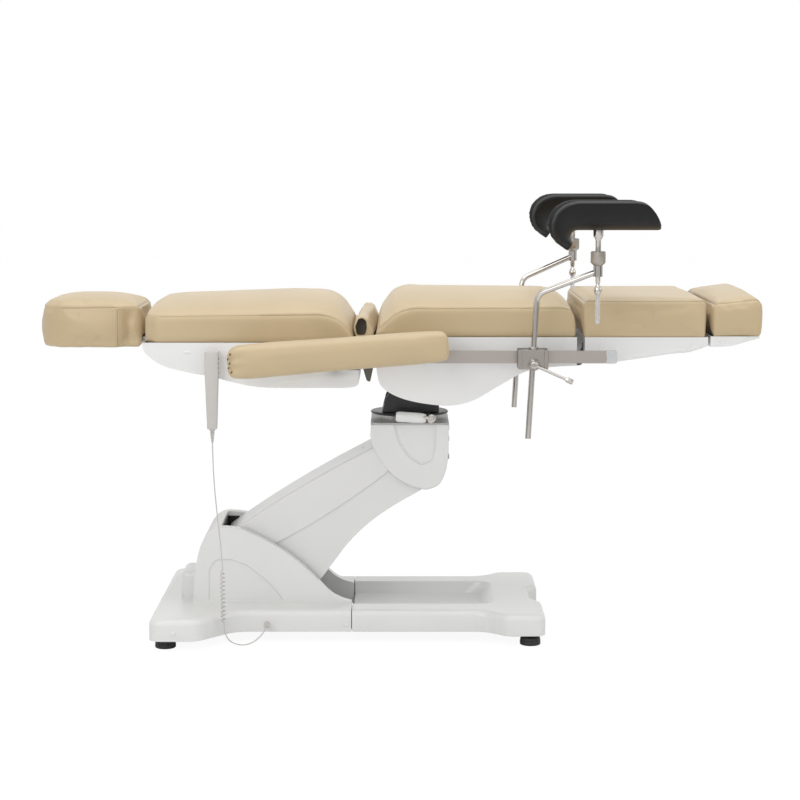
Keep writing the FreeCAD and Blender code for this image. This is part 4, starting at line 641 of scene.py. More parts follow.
def slots(start, end, middle, half, low, high):
    """The corners of one cutter on each side, at the middle's distance from the centre line."""
    return [((start, side * middle - half, low), (end, side * middle + half, high)) for side in (-1, 1)]


def undershell(name, line, top, cuts, wall=0.004, edge=0.02):
    """A pan whose side outline runs along a lower line between two ends that stand up to the top."""
    lower = flowing(line, 5)
    shell = side_form(name, [(line[0][0], top)] + lower + [(line[-1][0], top)], -shell_half, shell_half)
    round_edges(shell, edge, lambda a, b: lengthwise(a, b) and abs(a.y) > shell_half - 1e-4
                and max(a.z, b.z) < top - 1e-4, segments=5)
    head_end, foot_end = line[0][0], line[-1][0]
    inside = [(head_end + wall, top + 0.03)]
    for x, z in lower:
        at_head, at_foot = x - head_end < 0.02, foot_end - x < 0.02
        inside.append((max(x, head_end) + wall * (at_head - at_foot), z + wall * 1.1))
    inside.append((foot_end - wall, top + 0.03))
    carve(shell, side_form("inside", inside, -shell_half + wall * 1.6, shell_half - wall * 1.6))
    for low, high in cuts:
        carve(shell, block(low, high))
    soften(shell, 0.0009)
    return shell


seat_line = [(-0.0511, 0.747), (-0.048, 0.7), (-0.0361, 0.661), (0.0099, 0.633), (0.0759, 0.6175),
    (0.1419, 0.6135), (0.1979, 0.628), (0.26, 0.664), (0.3249, 0.699), (0.385, 0.71), (0.4539, 0.714)]
seat_cuts = [((-0.075, -0.068, 0.6), (0.124, 0.068, 0.73))]
seat_cuts += slots(-0.075, -0.039, 0.257, 0.009, 0.747, 0.8) + slots(0.43, 0.47, 0.19, 0.028, 0.7, 0.768)
seat_shell = undershell("seat_undershell", seat_line, 0.786, seat_cuts)
finish_piece(seat_shell, shell_white, "seat", "white_shell", "seat_shell")
back_line = [(-0.637, 0.768), (-0.631, 0.748), (-0.6, 0.722), (-0.57, 0.709), (-0.522, 0.697),
    (-0.467, 0.687), (-0.413, 0.673), (-0.36, 0.662), (-0.304, 0.658), (-0.2, 0.658), (-0.104, 0.661),
    (-0.094, 0.688)]
back_cuts = [((-0.66, -0.083, 0.761), (-0.597, 0.083, 0.7753))] + slots(-0.106, -0.08, 0.252, 0.008, 0.747,
    0.8)
back_shell = undershell("back_undershell", back_line, 0.772, back_cuts)
carve(back_shell, turned("hole", (-0.1501, -0.33, 0.7243), "Y", [(0.0115, 0), (0.0115, 0.66)], 32))
finish_piece(back_shell, shell_white, "back", "white_shell", "back_shell")
leg_line = [(0.4739, 0.7183), (0.51, 0.7185), (0.532, 0.7195), (0.612, 0.731), (0.694, 0.743),
    (0.737, 0.747), (0.7829, 0.762)]
leg_cuts = slots(0.46, 0.506, 0.19, 0.028, 0.69, 0.766) + slots(0.765, 0.8, 0.12, 0.0155, 0.7695, 0.8)
leg_shell = undershell("leg_undershell", leg_line, 0.786, leg_cuts, edge=0.014)
finish_piece(leg_shell, shell_white, "leg_section", "white_shell", "leg_shell")
foot_line = [(0.7889, 0.7613), (0.8389, 0.7633), (0.8839, 0.7755), (0.9119, 0.783)]
foot_cuts = slots(0.775, 0.8, 0.12, 0.012, 0.765, 0.8)
foot_shell = undershell("foot_undershell", foot_line, 0.788, foot_cuts, wall=0.0035, edge=0.008)
finish_piece(foot_shell, shell_white, "foot_section", "white_shell", "foot_shell")

# Plastic buttons and screw caps on the sides of the undershells, where they are fixed to the frames.
for name, body, spots in (("back_shell_buttons", "back", ((-0.524, 0.748, 0.0105, 0.0042),)),
        ("leg_shell_caps", "leg_section", ((0.513, 0.764, 0.004, 0.004), (0.741, 0.764, 0.004, 0.004),
        (0.7125, 0.7545, 0.018, 0.0045))), ("foot_shell_caps", "foot_section",
        ((0.815, 0.7745, 0.004, 0.004), (0.884, 0.7815, 0.01, 0.0032)))):
    buttons = []
    for x, z, wide, tall in spots:
        for out in (-1, 1):
            button = turned("button", (0, 0, 0), "Y", [(1, 0), (1, out * 0.0022), (0.8, out * 0.003),
                (0.4, out * 0.0034)], 28)
            button.data.transform(Matrix.Translation((x, out * 0.2665, z))
                @ Matrix.Diagonal((wide, 1, tall, 1)))
            buttons.append(button)
    finish_piece(join(name, *buttons), shell_white, body, "white_shell")

# Dark hinge covers in the gap between back and seat, each with the bolt that it turns on.
# The hinge covers' own black, also used as painted shade inside the gap cover's open ends.
hinge_black_and_shade = finish("hinge_black_and_shade", (0.105, 0.096, 0.083), 0.45, grain=900, depth=0.12)
covers = []
for out in (-1, 1):
    near, far = span(out, 0.2596, 0.2614)
    covers.append(side_form("cover", rounded([(-0.0925, 0.784, 0.006), (-0.053, 0.784, 0.006),
        (-0.054, 0.725, 0.01), (-0.065, 0.672, 0.006), (-0.074, 0.676, 0.006), (-0.0915, 0.735, 0.01)]),
        near, far))
    covers.append(turned("bolt", (-0.0781, out * 0.265, 0.7673), "Y",
        [(0.0085, out * -0.004), (0.0085, out * 0.002), (0.007, out * 0.003), (0.0045, out * 0.0032)], 6))
hinge_covers = join("hinge_side_covers", *covers)
soften(hinge_covers, 0.0007)
finish_piece(hinge_covers, hinge_black_and_shade, "seat", "black_plastic")

# Cushions. Foam on a board under beige vinyl: a boxed side panel, a crowned top panel, and the seam
# between them with a row of top stitching.
def vinyl(name, colour, shadow):
    """Soft vinyl with a fine leather grain, painted shade in the seam crease and stitches that follow the
    sewn seam.
    """
    made = finish(name, colour, 0.4, grain=260, depth=0.05, mottle=0.035, spread=0.05)
    tree, links = made.node_tree.nodes, made.node_tree.links
    shader = tree["Principled BSDF"]
    shader.inputs["Sheen Weight"].default_value = 0.12
    shader.inputs["Sheen Roughness"].default_value = 0.4
    place = [node for node in tree if node.type == "TEX_COORD"][0]
    ramp = [node for node in tree if node.type == "VALTORGB"][0]
    old_bump = [node for node in tree if node.type == "BUMP"][0]
    cells = tree.new("ShaderNodeTexVoronoi")
    cells.inputs["Scale"].default_value = 620
    links.new(place.outputs["Object"], cells.inputs["Vector"])
    seam, run = tree.new("ShaderNodeAttribute"), tree.new("ShaderNodeAttribute")
    seam.attribute_name, run.attribute_name = "seam", "run"

    def maths(kind, first, second=None, clamp=False):
        node = tree.new("ShaderNodeMath")
        node.operation, node.use_clamp = kind, clamp
        for socket, amount in zip(node.inputs, (first, second)):
            if isinstance(amount, (int, float)):
                socket.default_value = amount
            elif amount is not None:
                links.new(amount, socket)
        return node.outputs[0]

    def band(middle, half, soft):
        away = maths("ABSOLUTE", maths("SUBTRACT", seam.outputs["Fac"], 1 - middle))
        return maths("MULTIPLY", maths("SUBTRACT", half + soft, away), 1 / soft, clamp=True)

    crease = band(0.0, 0.0005, 0.0012)
    dash = maths("LESS_THAN", maths("FRACT", maths("MULTIPLY", run.outputs["Fac"], 1 / 0.0062)), 0.62)
    stitch = maths("MULTIPLY", band(0.0042, 0.0005, 0.0005), dash)
    # Painted shade: along the seam crease the colour is drawn towards the shadow colour.
    dark = tree.new("ShaderNodeMix")
    dark.data_type = "RGBA"
    dark.inputs["B"].default_value = (*shadow, 1)
    links.new(ramp.outputs["Color"], dark.inputs["A"])
    links.new(maths("MULTIPLY", crease, 0.75), dark.inputs["Factor"])
    thread = tree.new("ShaderNodeMix")
    thread.data_type = "RGBA"
    thread.inputs["B"].default_value = (*(part * 0.8 for part in colour), 1)
    links.new(dark.outputs["Result"], thread.inputs["A"])
    links.new(maths("MULTIPLY", stitch, 0.85), thread.inputs["Factor"])
    links.new(thread.outputs["Result"], shader.inputs["Base Color"])
    height = maths("SUBTRACT", maths("ADD", maths("MULTIPLY", cells.outputs["Distance"], 0.1),
        maths("MULTIPLY", stitch, 0.5)), maths("MULTIPLY", crease, 1.6))
    bump = tree.new("ShaderNodeBump")
    bump.inputs["Strength"].default_value = 0.55
    bump.inputs["Distance"].default_value = 0.0008
    links.new(height, bump.inputs["Height"])
    links.new(old_bump.outputs["Normal"], bump.inputs["Normal"])
    links.new(bump.outputs["Normal"], shader.inputs["Normal"])
    return made


def between(where, pairs):
    """The height on a line of (place, height) pairs."""
    if where <= pairs[0][0]:
        return pairs[0][1]
    for (a, low), (b, high) in zip(pairs, pairs[1:]):
        if where <= b:
            return low + (high - low) * (where - a) / (b - a)
    return pairs[-1][1]


def puff(piece, cap, board_z, voxel):
    """Remeshes a cushion and lets air pressure swell it, by no more than the cap, above its board."""
    apply_modifier(piece, "REMESH", mode="VOXEL", voxel_size=voxel)
    before = [vertex.co.copy() for vertex in piece.data.vertices]
    activate(piece)
    swell = piece.modifiers.new("swell", "CLOTH")
    swell.settings.quality = 4
    swell.settings.mass = 0.25
    swell.settings.use_pressure = True
    swell.settings.uniform_pressure_force = 4
    swell.settings.tension_stiffness = 18
    swell.settings.compression_stiffness = 18
    swell.settings.bending_stiffness = 1.5
    swell.settings.effector_weights.gravity = 0
    swell.collision_settings.use_self_collision = False
    swell.point_cache.frame_start, swell.point_cache.frame_end = 1, 20
    for step in range(1, 21):
        scene.frame_set(step)
    bpy.ops.object.modifier_apply(modifier="swell")
    for vertex, start in zip(piece.data.vertices, before):
        moved = vertex.co - start
        if moved.length > cap:
            vertex.co = start + moved * (cap / moved.length)
    scene.frame_set(1)
    for vertex in piece.data.vertices:
        vertex.co.z = max(vertex.co.z, board_z)


def crown(piece, half, low, seam_line, rise_line):
    """Raises the top panel towards the middle."""
    power = 2.6
    for vertex in piece.data.vertices:
        x, y, z = vertex.co
        edge = between(x, seam_line)
        share = min(1, max(0, (z - low) / max(0.02, edge - low)))
        lift = share * share * (3 - 2 * share)
        vertex.co.z += lift * between(x, rise_line) * max(0, 1 - abs(y / half) ** power)


def draw_in(piece, low):
    """Draws the sides in along the lower edge, where the cover is stapled under the board."""
    high, share = 0.014, 0.026
    for vertex in piece.data.vertices:
        near = max(0, 1 - (vertex.co.z - low) / high)
        vertex.co.y *= 1 - share * near * near


def sew(piece, half, seam_line, ends):
    """Stores one less the distance from the seam, and how far along it, and presses the seam in."""
    apply_modifier(piece, "SUBSURF", levels=1, render_levels=1)
    mesh = piece.data
    seam = mesh.attributes.new("seam", "FLOAT", "POINT")
    run = mesh.attributes.new("run", "FLOAT", "POINT")
    normals = [vertex.normal.copy() for vertex in mesh.vertices]
    for vertex, normal in zip(mesh.vertices, normals):
        x, y, z = vertex.co
        height = z - between(x, seam_line)
        gaps = [half - abs(y)] + [abs(x - end) for end in ends]
        gap = min(gaps)
        inset = max(0, gap - 0.012)
        distance = height + inset if height > 0 else height - inset
        seam.data[vertex.index].value = 1 - distance
        run.data[vertex.index].value = x if gaps.index(gap) == 0 else y
        vertex.co -= normal * 0.0016 * math.exp(-(distance / 0.004) ** 2)
    activate(piece)
    bpy.ops.object.shade_smooth()


def stuffed(name, body, outline, half, board_z, seam_line, rise_line, ends, cap, voxel, low, corner=0):
    """A boxed cushion: swollen, crowned, drawn in under its board and sewn along its seam line."""
    cushion = side_form(f"{name}_stuffed", outline, -half, half)
    if corner:
        round_edges(cushion, corner, lambda a, b: lengthwise(a, b) and max(a.x, b.x) < -0.631, segments=6)
    puff(cushion, cap, board_z, voxel)
    crown(cushion, half, low, seam_line, rise_line)
    draw_in(cushion, board_z)
    sew(cushion, sewn_half, seam_line, ends)
    finish_piece(cushion, beige_vinyl, body, "beige_vinyl", name)


# The second colour is the painted shade in the seam creases.
beige_vinyl = vinyl("beige_vinyl", (0.585, 0.458, 0.276), (0.3, 0.22, 0.13))
soft_half, firm_half, sewn_half = 0.275, 0.2755, 0.279

# Back cushion: rounded corners at the head end, a rolled-down end at the hinge.
back_seam = [(-0.64, 0.838), (-0.193, 0.842), (-0.17, 0.839), (-0.148, 0.831), (-0.13, 0.818),
    (-0.116, 0.802), (-0.1, 0.775)]
back_rise = [(-0.64, 0.008), (-0.622, 0.025), (-0.6, 0.033), (-0.56, 0.036), (-0.47, 0.038), (-0.27, 0.043),
    (-0.1, 0.036)]
back_outline = [(-0.638, 0.7695), (-0.638, 0.826), (-0.632, 0.836)] + back_seam[1:-1] + [(-0.102, 0.785),
    (-0.099, 0.7695)]
stuffed("back_cushion", "back", back_outline, soft_half, 0.7695, back_seam, back_rise, (-0.642,),
        cap=0.006, voxel=0.0075, low=0.7735, corner=0.048)

# Seat cushion: rolls down at the hinge, square at the foot end.
seat_seam = [(-0.058, 0.795), (-0.04, 0.811), (-0.024, 0.825), (-0.007, 0.84), (0.012, 0.85), (0.03, 0.856),
             (0.052, 0.858), (0.418, 0.859), (0.44, 0.854), (0.452, 0.838)]
seat_rise = [(-0.058, 0.03), (-0.038, 0.04), (-0.014, 0.045), (0.025, 0.039), (0.06, 0.034), (0.38, 0.03),
    (0.44, 0.018), (0.456, 0.01)]
seat_outline = [(-0.056, 0.7835), (-0.056, 0.793)] + seat_seam[1:] + [(0.4555, 0.815), (0.4555, 0.7835)]
stuffed("seat_cushion", "seat", seat_outline, soft_half, 0.7835, seat_seam, seat_rise, (0.459,),
        cap=0.006, voxel=0.0075, low=0.7878)

# Leg cushion: a firm, square block.
leg_seam = [(0.466, 0.872), (0.478, 0.8765), (0.77, 0.8765), (0.781, 0.872)]
leg_outline = [(0.469, 0.7835), (0.467, 0.87), (0.473, 0.8785), (0.773, 0.879), (0.7795, 0.8725),
    (0.778, 0.7835)]
leg_rise = [(0.466, 0.002), (0.5, 0.006), (0.75, 0.006), (0.782, 0.002)]
stuffed("leg_cushion", "leg_section", leg_outline, firm_half, 0.7835, leg_seam, leg_rise, (0.466, 0.782),
        cap=0.0035, voxel=0.0052, low=0.7878)

# Foot cushion: a short block that rises towards the foot end.
foot_seam = [(0.789, 0.864), (0.8, 0.87), (0.902, 0.8805), (0.916, 0.874)]
foot_outline = [(0.7945, 0.7855), (0.7915, 0.862), (0.797, 0.8705), (0.84, 0.875), (0.9, 0.883),
    (0.914, 0.878), (0.9175, 0.866), (0.915, 0.7855)]
foot_rise = [(0.789, 0.004), (0.83, 0.014), (0.89, 0.014), (0.918, 0.004)]
stuffed("foot_cushion", "foot_section", foot_outline, firm_half, 0.7855, foot_seam, foot_rise,
    (0.789, 0.92), cap=0.0035, voxel=0.0052, low=0.7898)

# Headrest cushion: rounded at the head end, with a narrower neck that the sliding bar goes into.
rest_side = [(-0.6535, -0.131, 0.008), (-0.692, -0.137, 0.03), (-0.713, -0.151, 0.02),
    (-0.8, -0.1515, 0.06), (-0.872, -0.143, 0.05), (-0.9165, -0.095, 0.05)]
rest_cushion = plan_form("headrest_cushion_stuffed", mirrored(rest_side, 4), 0.749, 0.854)
round_edges(rest_cushion, 0.009, lambda a, b: abs(a.z - b.z) < 1e-5 and a.z < 0.76, segments=3)
carve(rest_cushion, block((-0.709, -0.086, 0.7615), (-0.64, 0.086, 0.7755)))
puff(rest_cushion, 0.0055, 0.7483, 0.006)
for vertex in rest_cushion.data.vertices:
    x, y, z = vertex.co
    share = min(1, max(0, (z - 0.78) / 0.075))
    spread = max(0, 1 - abs(y / 0.152) ** 2.6) * max(0, 1 - abs((x + 0.789) / 0.13) ** 3)
    vertex.co.z += share * share * 0.023 * spread
# The neck's sides are drawn in where the bar pulls on the cover.
for vertex in rest_cushion.data.vertices:
    inward = max(0, 1 - abs(vertex.co.x + 0.683) / 0.028) * max(0, 1 - (abs(vertex.co.z - 0.8) / 0.05) ** 2)
    vertex.co.y *= 1 - 0.09 * inward
rest_seam = [(-0.922, 0.849), (-0.66, 0.853)]
sew(rest_cushion, 0.154, rest_seam, (-0.92, -0.652))
# A second, upright seam where the neck meets the head part.
rest_mesh = rest_cushion.data
for vertex in rest_mesh.vertices:
    away = abs(vertex.co.x + 0.7135)
    if vertex.co.z < 0.846 and abs(vertex.co.y) > 0.11 and away < 0.012:
        rest_mesh.attributes["seam"].data[vertex.index].value = 1 - away
        rest_mesh.attributes["run"].data[vertex.index].value = vertex.co.z
finish_piece(rest_cushion, beige_vinyl, "headrest", "beige_vinyl", "headrest_cushion")

# Gap cover: a loop of folded vinyl that fills the gap between the back and the seat. Its open ends
# are hollowed, and a dark plate in each paints the shade inside the loop.
fold_half = 0.268
gap_cover = side_form("gap_cover_folded", rounded([(-0.0975, 0.786, 0.004), (-0.1035, 0.812, 0.012),
    (-0.096, 0.838, 0.014), (-0.08, 0.843, 0.01), (-0.068, 0.834, 0.012), (-0.061, 0.814, 0.012),
    (-0.053, 0.798, 0.008), (-0.053, 0.786, 0.004)]), -fold_half, fold_half)
apply_modifier(gap_cover, "REMESH", mode="VOXEL", voxel_size=0.004)
apply_modifier(gap_cover, "SMOOTH", factor=0.6, iterations=5)
for vertex in gap_cover.data.vertices:
    x, y, z = vertex.co
    upper = min(1, max(0, (z - 0.8) / 0.035))
    slant = math.sin((y + (x + 0.083) * 2.2) * 46)
    wrinkle = noise.noise(Vector((x * 40, y * 9, z * 40)))
    vertex.co.z += upper * (0.0022 * slant + 0.002 * wrinkle - 0.0035 * (abs(y) / fold_half) ** 6)
    vertex.co.x += upper * 0.0018 * wrinkle + 0.003 + 0.007 * y / fold_half
mouth_line = rounded([(-0.0945, 0.7905, 0.008), (-0.0985, 0.812, 0.012), (-0.0905, 0.8325, 0.012),
    (-0.079, 0.8345, 0.01), (-0.0705, 0.826, 0.01), (-0.069, 0.808, 0.012), (-0.0735, 0.7905, 0.008)])


def mouth_form(name, out, near, far):
    """The opening's outline made solid at one end of the strip, which lies a little askew."""
    form = side_form(name, mouth_line, *span(out, near, far))
    form.data.transform(Matrix.Translation((0.003 + out * 0.007, 0, 0)))
    return form


for out in (-1, 1):
    carve(gap_cover, mouth_form("mouth", out, 0.228, 0.3))
activate(gap_cover)
bpy.ops.object.shade_smooth_by_angle(angle=math.radians(50))
finish_piece(gap_cover, beige_vinyl, "back", "tan_vinyl", "hinge_gussets")
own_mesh(gap_cover)
# Painted shade: a dark plate near the bottom of each opening stands for the shade inside the loop.
mouth_shades = join("gap_cover_mouth_shade", *[mouth_form("mouth_shade", out, 0.229, 0.233) for out in (-1, 1)])
finish_piece(mouth_shades, hinge_black_and_shade, "back", "tan_vinyl")
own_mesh(mouth_shades)

# Armrests. Long vinyl bolsters on pivoted brackets; the cover is gathered in tucks at the head end.
armrest_pivot, armrest_tilt = (-0.4171, 0.362, 0.7292), Matrix.Rotation(math.radians(-4.6), 4, "Y")


def armrest_place(out):
    """Where one side's armrest starts, tilted as it lies at rest."""
    x, y, z = armrest_pivot
    return Matrix.Translation((x, out * y, z)) @ armrest_tilt


for side, out in (("right", -1), ("left", 1)):
    pad = side_form(f"{side}_armrest_stuffed", rounded([(0.001, -0.0395, 0.022), (0.549, -0.0365, 0.022),
        (0.549, 0.0365, 0.024), (0.001, 0.041, 0.032)], 6), -0.0355, 0.0355)
    round_edges(pad, 0.014, lengthwise, segments=4)
    puff(pad, 0.0045, -0.05, 0.0055)
    apply_modifier(pad, "SUBSURF", levels=1, render_levels=1)
    for vertex in pad.data.vertices:
        x, y, z = vertex.co
        if x < 0.06:
            fold = math.cos(math.atan2(z, y) * 9) * 0.5 + 0.5
            near_end = max(0, 1 - x / 0.055)
            rim = math.exp(-((x - 0.012) / 0.01) ** 2)
            vertex.co.y -= y * 0.11 * near_end * fold
            vertex.co.z -= z * 0.09 * near_end * fold
            vertex.co.x += 0.006 * rim * fold
    pad.data.transform(armrest_place(out))
    activate(pad)
    bpy.ops.object.shade_smooth()
    finish_piece(pad, beige_vinyl, f"{side}_armrest", "beige_vinyl", f"{side}_armrest_pad")
    dress(black_cast, f"{side}_armrest_bracket")

# Tucks: small dark beads that paint the shade in the stitched dimples where the cover is gathered.
tuck_shadow = finish("tuck_shadow", (0.1, 0.07, 0.045), 0.7)


def bead(place, size, segments):
    """A small rounded grain."""
    bpy.ops.object.select_all(action="DESELECT")
    bpy.ops.mesh.primitive_uv_sphere_add(segments=segments, ring_count=8, radius=1)
    made = bpy.context.object
    made.data.transform(place @ Matrix.Diagonal((*size, 1)))
    return made


for side, out in (("right", -1), ("left", 1)):
    shade_beads = []
    for up, along in ((0.024, 0.012), (0.013, 0.006), (0.002, 0.009), (-0.009, 0.006), (-0.02, 0.012)):
        spot = armrest_place(out) @ Matrix.Translation((along, out * 0.036, up))
        shade_beads.append(bead(spot @ Matrix.Rotation(0.5, 4, "Y"), (0.0017, 0.0018, 0.0036), 14))
    shade_beads = join(f"{side}_armrest_tuck_shade", *shade_beads)
    bpy.ops.object.shade_smooth()
    finish_piece(shade_beads, tuck_shadow, f"{side}_armrest", "tan_vinyl")

# Side rails. Flat stainless bars on standoffs, with clear plastic caps on their ends.
brushed_steel = finish("brushed_steel", (0.46, 0.42, 0.39), 0.34, grain=900, depth=0.1, metallic=1.0,
    mottle=0.03, spread=0.06, stretch=(0.03, 1, 1))
clear_plastic = finish("clear_plastic", (0.8, 0.81, 0.82), 0.22, grain=500, depth=0.03, mottle=0.01)
clear_plastic.node_tree.nodes["Principled BSDF"].inputs["Transmission Weight"].default_value = 0.55
rail_low, rail_high = 0.7248, 0.7558
rails = []
caps = []
for out in (-1, 1):
    near, far = span(out, 0.305, 0.315)
    rails.append(side_form("rail", rounded([(0.0699, rail_low, 0.0015), (0.5239, rail_low, 0.0015),
        (0.5239, rail_high, 0.0015), (0.0699, rail_high, 0.0015)], 3), near, far))
    near, far = span(out, 0.304, 0.316)
    for start, end, left, right in ((0.0429, 0.0699, 0.006, 0.001), (0.5239, 0.5509, 0.001, 0.006)):
        caps.append(side_form("cap", rounded([(start, 0.7238, left), (end, 0.7238, right),
            (end, 0.7568, right), (start, 0.7568, left)], 5), near, far))
rails = join("side_rails_bars", *rails)
soften(rails, 0.0008)
finish_piece(rails, brushed_steel, "seat", "stainless", "side_rails")
caps = join("rail_caps_clear", *caps)
soften(caps, 0.0016, segments=3)
finish_piece(caps, clear_plastic, "seat", "clear_cap", "rail_end_caps")
dress(ground_steel, "rail_brackets")

# Rail clamps. A milled block that hooks over the rail, with end flanges, a hole for the post and a
# stack of turned rings round the clamp screw.
clamp_steel = finish("clamp_steel", (0.47, 0.435, 0.4), 0.2, grain=700, depth=0.06, metallic=1.0,
    mottle=0.03)
clamp_steel.node_tree.nodes["Principled BSDF"].inputs["Specular Tint"].default_value = warm_edge
clamp_x, screw_x, screw_z = 0.3394, 0.3414, 0.7243
lean = math.radians(3.2)
for side, out in (("right", -1), ("left", 1)):
    near, far = span(out, 0.3, 0.353)
    clamp = side_form(f"{side}_rail_clamp_milled", rounded([(0.3019, 0.7128, 0.003),
        (0.3769, 0.7128, 0.003), (0.3769, 0.7618, 0.003), (0.3019, 0.7618, 0.003)]), near, far)
    near, far = span(out, 0.3047, 0.3153)
    carve(clamp, block((0.29, near, 0.7245), (0.39, far, 0.7561)))
    near, far = span(out, 0.298, 0.3048)
    carve(clamp, block((0.29, near, 0.7308), (0.39, far, 0.7498)))
    near, far = span(out, 0.3485, 0.36)
    carve(clamp, block((0.312, near, 0.7), (0.3668, far, 0.78)))
    bore = turned("bore", (0, 0, -0.06), "Z", [(0.00705, 0), (0.00705, 0.12)], 40)
    bore.data.transform(Matrix.Translation((clamp_x, out * 0.34, 0.7373)) @ Matrix.Rotation(lean, 4, "Y"))
    carve(clamp, bore)
    soften(clamp, 0.0009)
    rings = [turned("ring", (screw_x, 0, screw_z), "Y", [(r, out * h) for r, h in profile], 48)
             for profile in ([(0.0148, 0.3478), (0.015, 0.3482), (0.015, 0.3512), (0.0143, 0.352)],
                             [(0.0122, 0.3516), (0.0124, 0.3522), (0.0124, 0.3562), (0.0115, 0.3572)])]
    collar = turned("collar", (clamp_x + 0.0015, out * 0.34, 0.761), "Z",
                    [(0.012, 0), (0.012, 0.005), (0.0108, 0.0062), (0.0072, 0.0064), (0.0072, 0.0)], 40)
    clamp = join(f"{side}_rail_clamp_milled", clamp, *rings, collar)
    finish_piece(clamp, clamp_steel, f"{side}_clamp", "stainless", f"{side}_rail_clamp")
    hub = turned("hub", (screw_x, 0, screw_z), "Y", [(r, out * h) for r,
        h in ((0.0085, 0.3577), (0.009, 0.3582), (0.009, 0.364), (0.008, 0.3652), (0.0048, 0.3656),
        (0.0044, 0.364))], 36)
    rod = turned("rod", (screw_x, out * 0.361, screw_z), "X",
        [(0.0036, 0.004), (0.0036, 0.084), (0.0044, 0.086), (0.006, 0.0885), (0.0064, 0.09),
        (0.0064, 0.103), (0.0052, 0.1048)], 28)
    turn_down = Matrix.Rotation(math.radians(24), 4, "Y")
    at_screw = Matrix.Translation((screw_x, 0, screw_z))
    rod.data.transform(at_screw @ turn_down @ at_screw.inverted())
    lever = join(f"{side}_clamp_lever_turned", hub, rod)
    finish_piece(lever, hand_chrome, f"{side}_clamp_handle", "chrome", f"{side}_clamp_lever")
    dress(hand_chrome, f"{side}_crutch_post")

# Crutch locks. A knurled knob over the tee, a spindle that ends in a ball, and a clear drop handle.
tee_x, tee_y = 0.4929, 0.4
knurled_steel = finish("knurled_steel", (0.46, 0.425, 0.385), 0.3, grain=1500, depth=0.3, metallic=1.0,
    mottle=0.04)
for side, out in (("right", -1), ("left", 1)):
    grooves = 44
    knob = turned("knob", (tee_x, out * tee_y, 0), "Z", [(0.0105, 0.9718), (0.015, 0.9762), (0.0175, 0.979),
        (0.0182, 0.98), (0.0182, 1.0055), (0.0172, 1.0068), (0.014, 1.0074)], grooves * 4)
    for vertex in knob.data.vertices:
        if 0.978 < vertex.co.z < 1.0062:
            around = math.atan2(vertex.co.y - out * tee_y, vertex.co.x - tee_x)
            depth = 1 - 0.022 * (0.5 + 0.5 * math.cos(around * grooves))
            vertex.co.x = tee_x + (vertex.co.x - tee_x) * depth
            vertex.co.y = out * tee_y + (vertex.co.y - out * tee_y) * depth
    finish_piece(knob, knurled_steel, f"{side}_lock", "chrome")
    knob.name = f"{side}_knob_knurled"
    spindle = turned(f"{side}_lock_spindle", (tee_x, out * tee_y, 0), "Z", [
        (0.004, 0.9), (0.0062, 0.903), (0.0085, 0.907), (0.0094, 0.9115), (0.0094, 0.914), (0.0085, 0.9185),
        (0.006, 0.9225), (0.0048, 0.9245), (0.0048, 0.93), (0.0058, 0.932), (0.0058, 0.973)], 40)
    finish_piece(spindle, hand_chrome, f"{side}_lock", "chrome", f"{side}_crutch_lock")
    handle = turned(f"{side}_drop_handle", (tee_x, out * tee_y, 0), "Z",
        [(0.0022, 0.8303), (0.0042, 0.8312), (0.0054, 0.8335), (0.0058, 0.837), (0.0055, 0.89),
        (0.0048, 0.9), (0.004, 0.902)], 32)
    finish_piece(handle, clear_plastic, f"{side}_lock", "clear_cap")

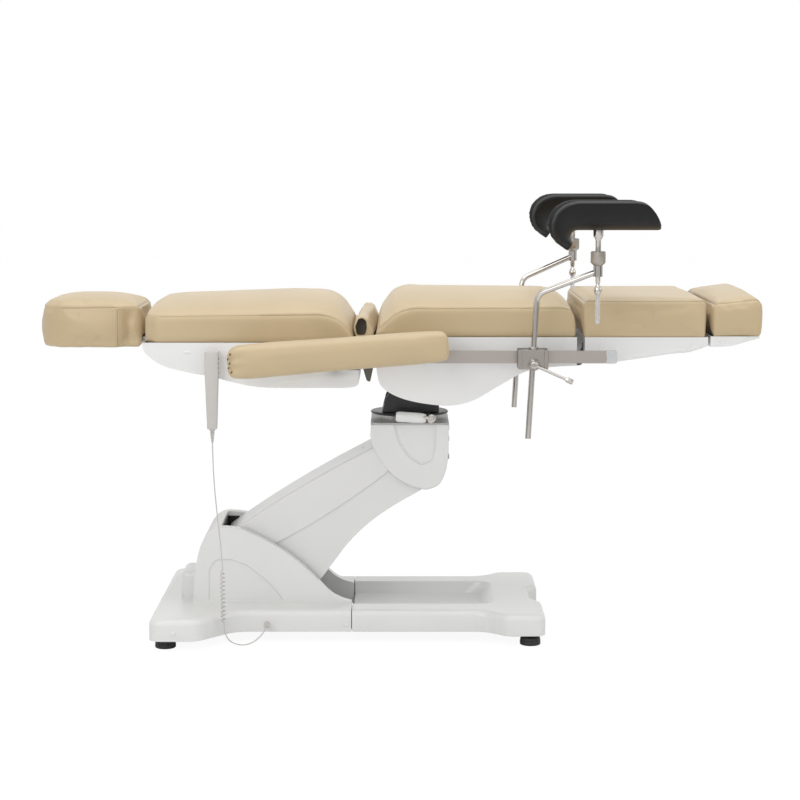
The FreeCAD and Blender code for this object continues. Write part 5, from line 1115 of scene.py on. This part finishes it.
# Crutch pads. Black moulded foam troughs that curl down at the knee, each on a chromed socket.
pad_foam = finish("pad_foam", (0.0042, 0.0044, 0.0052), 0.46, grain=900, depth=0.22, mottle=0.12,
    spread=0.05)
pad_foam.node_tree.nodes["Principled BSDF"].inputs["Specular IOR Level"].default_value = 0.32
for side, out in (("right", -1), ("left", 1)):
    activate(nodes[f"{side}_crutch_pad"])
    bpy.ops.object.duplicate()
    pad = bpy.context.object
    pad.name = f"{side}_crutch_pad_moulded"
    pad.data.materials.clear()
    apply_modifier(pad, "WELD", merge_threshold=0.00002)
    near, far = span(out, 0.375, 0.425)
    carve(pad, block((0.47, near, 0.995), (0.516, far, 1.0581)))
    apply_modifier(pad, "REMESH", mode="VOXEL", voxel_size=0.0034)
    # The foot end is lowered and shortened a little, more towards its tip.
    for vertex in pad.data.vertices:
        past = max(0, (vertex.co.x - 0.575) / 0.0749)
        vertex.co.z -= max(0, vertex.co.z - 1.0583) * 0.46 * past ** 2.0
        vertex.co.x -= 0.008 * past ** 2.0
    apply_modifier(pad, "SMOOTH", factor=0.5, iterations=6)
    apply_modifier(pad, "SUBSURF", levels=1, render_levels=1)
    activate(pad)
    bpy.ops.object.shade_smooth()
    finish_piece(pad, pad_foam, f"{side}_crutch", "black_pad", f"{side}_crutch_pad")
    socket = turned(f"{side}_pad_socket", (tee_x, out * tee_y, 0), "Z",
        [(0.0066, 1.008), (0.0066, 1.034), (0.008, 1.0375), (0.0112, 1.0425), (0.0122, 1.044),
        (0.0122, 1.059)], 40)
    finish_piece(socket, hand_chrome, f"{side}_crutch", "chrome")

# Hand control. A slim grey case that hangs from a hook, with soft keys on one edge and a ribbed
# relief where the lead comes out.
case_grey = finish("case_grey", (0.6, 0.575, 0.55), 0.38, grain=900, depth=0.1, mottle=0.02)
key_grey = finish("key_grey", (0.16, 0.155, 0.15), 0.5, grain=900, depth=0.1)
case = side_form("handset_case", rounded([(hang_x - 0.0174, 0.7533, 0.004),
    (hang_x + 0.0174, 0.7533, 0.004), (hang_x + 0.0168, 0.69, 0.05), (hang_x + 0.0122, 0.5573, 0.005),
    (hang_x - 0.0122, 0.5573, 0.005), (hang_x - 0.0168, 0.69, 0.05)], 6), hang_y - 0.011, hang_y + 0.011)
round_edges(case, 0.0045, lengthwise, segments=4)
relief_line = [(0.0062, 0.559)]
for ring in range(6):
    top = 0.556 - ring * 0.0052
    size = 0.0066 - ring * 0.00055
    relief_line += [(size, top), (size, top - 0.0026), (size * 0.62, top - 0.003),
        (size * 0.62, top - 0.005)]
relief_line += [(0.0024, 0.5235), (0.0018, 0.5223)]
relief = turned("relief", (hang_x, hang_y, 0), "Z", list(reversed(relief_line)), 28)
case = join("handset_case", case, relief)
activate(case)
bpy.ops.object.shade_smooth_by_angle(angle=math.radians(35))
finish_piece(case, case_grey, "handset", "handset_plastic", "handset")
keys = []
for row in range(5):
    for across in (-0.0042, 0.0042):
        spot = (hang_x + 0.0168 - row * 0.0002, hang_y + across, 0.7345 - row * 0.0115)
        keys.append(bead(Matrix.Translation(spot), (0.0012, 0.0027, 0.0036), 16))
keys = join("handset_keys", *keys)
bpy.ops.object.shade_smooth()
finish_piece(keys, key_grey, "handset", "handset_plastic")
dress(black_cast, "handset_hook")
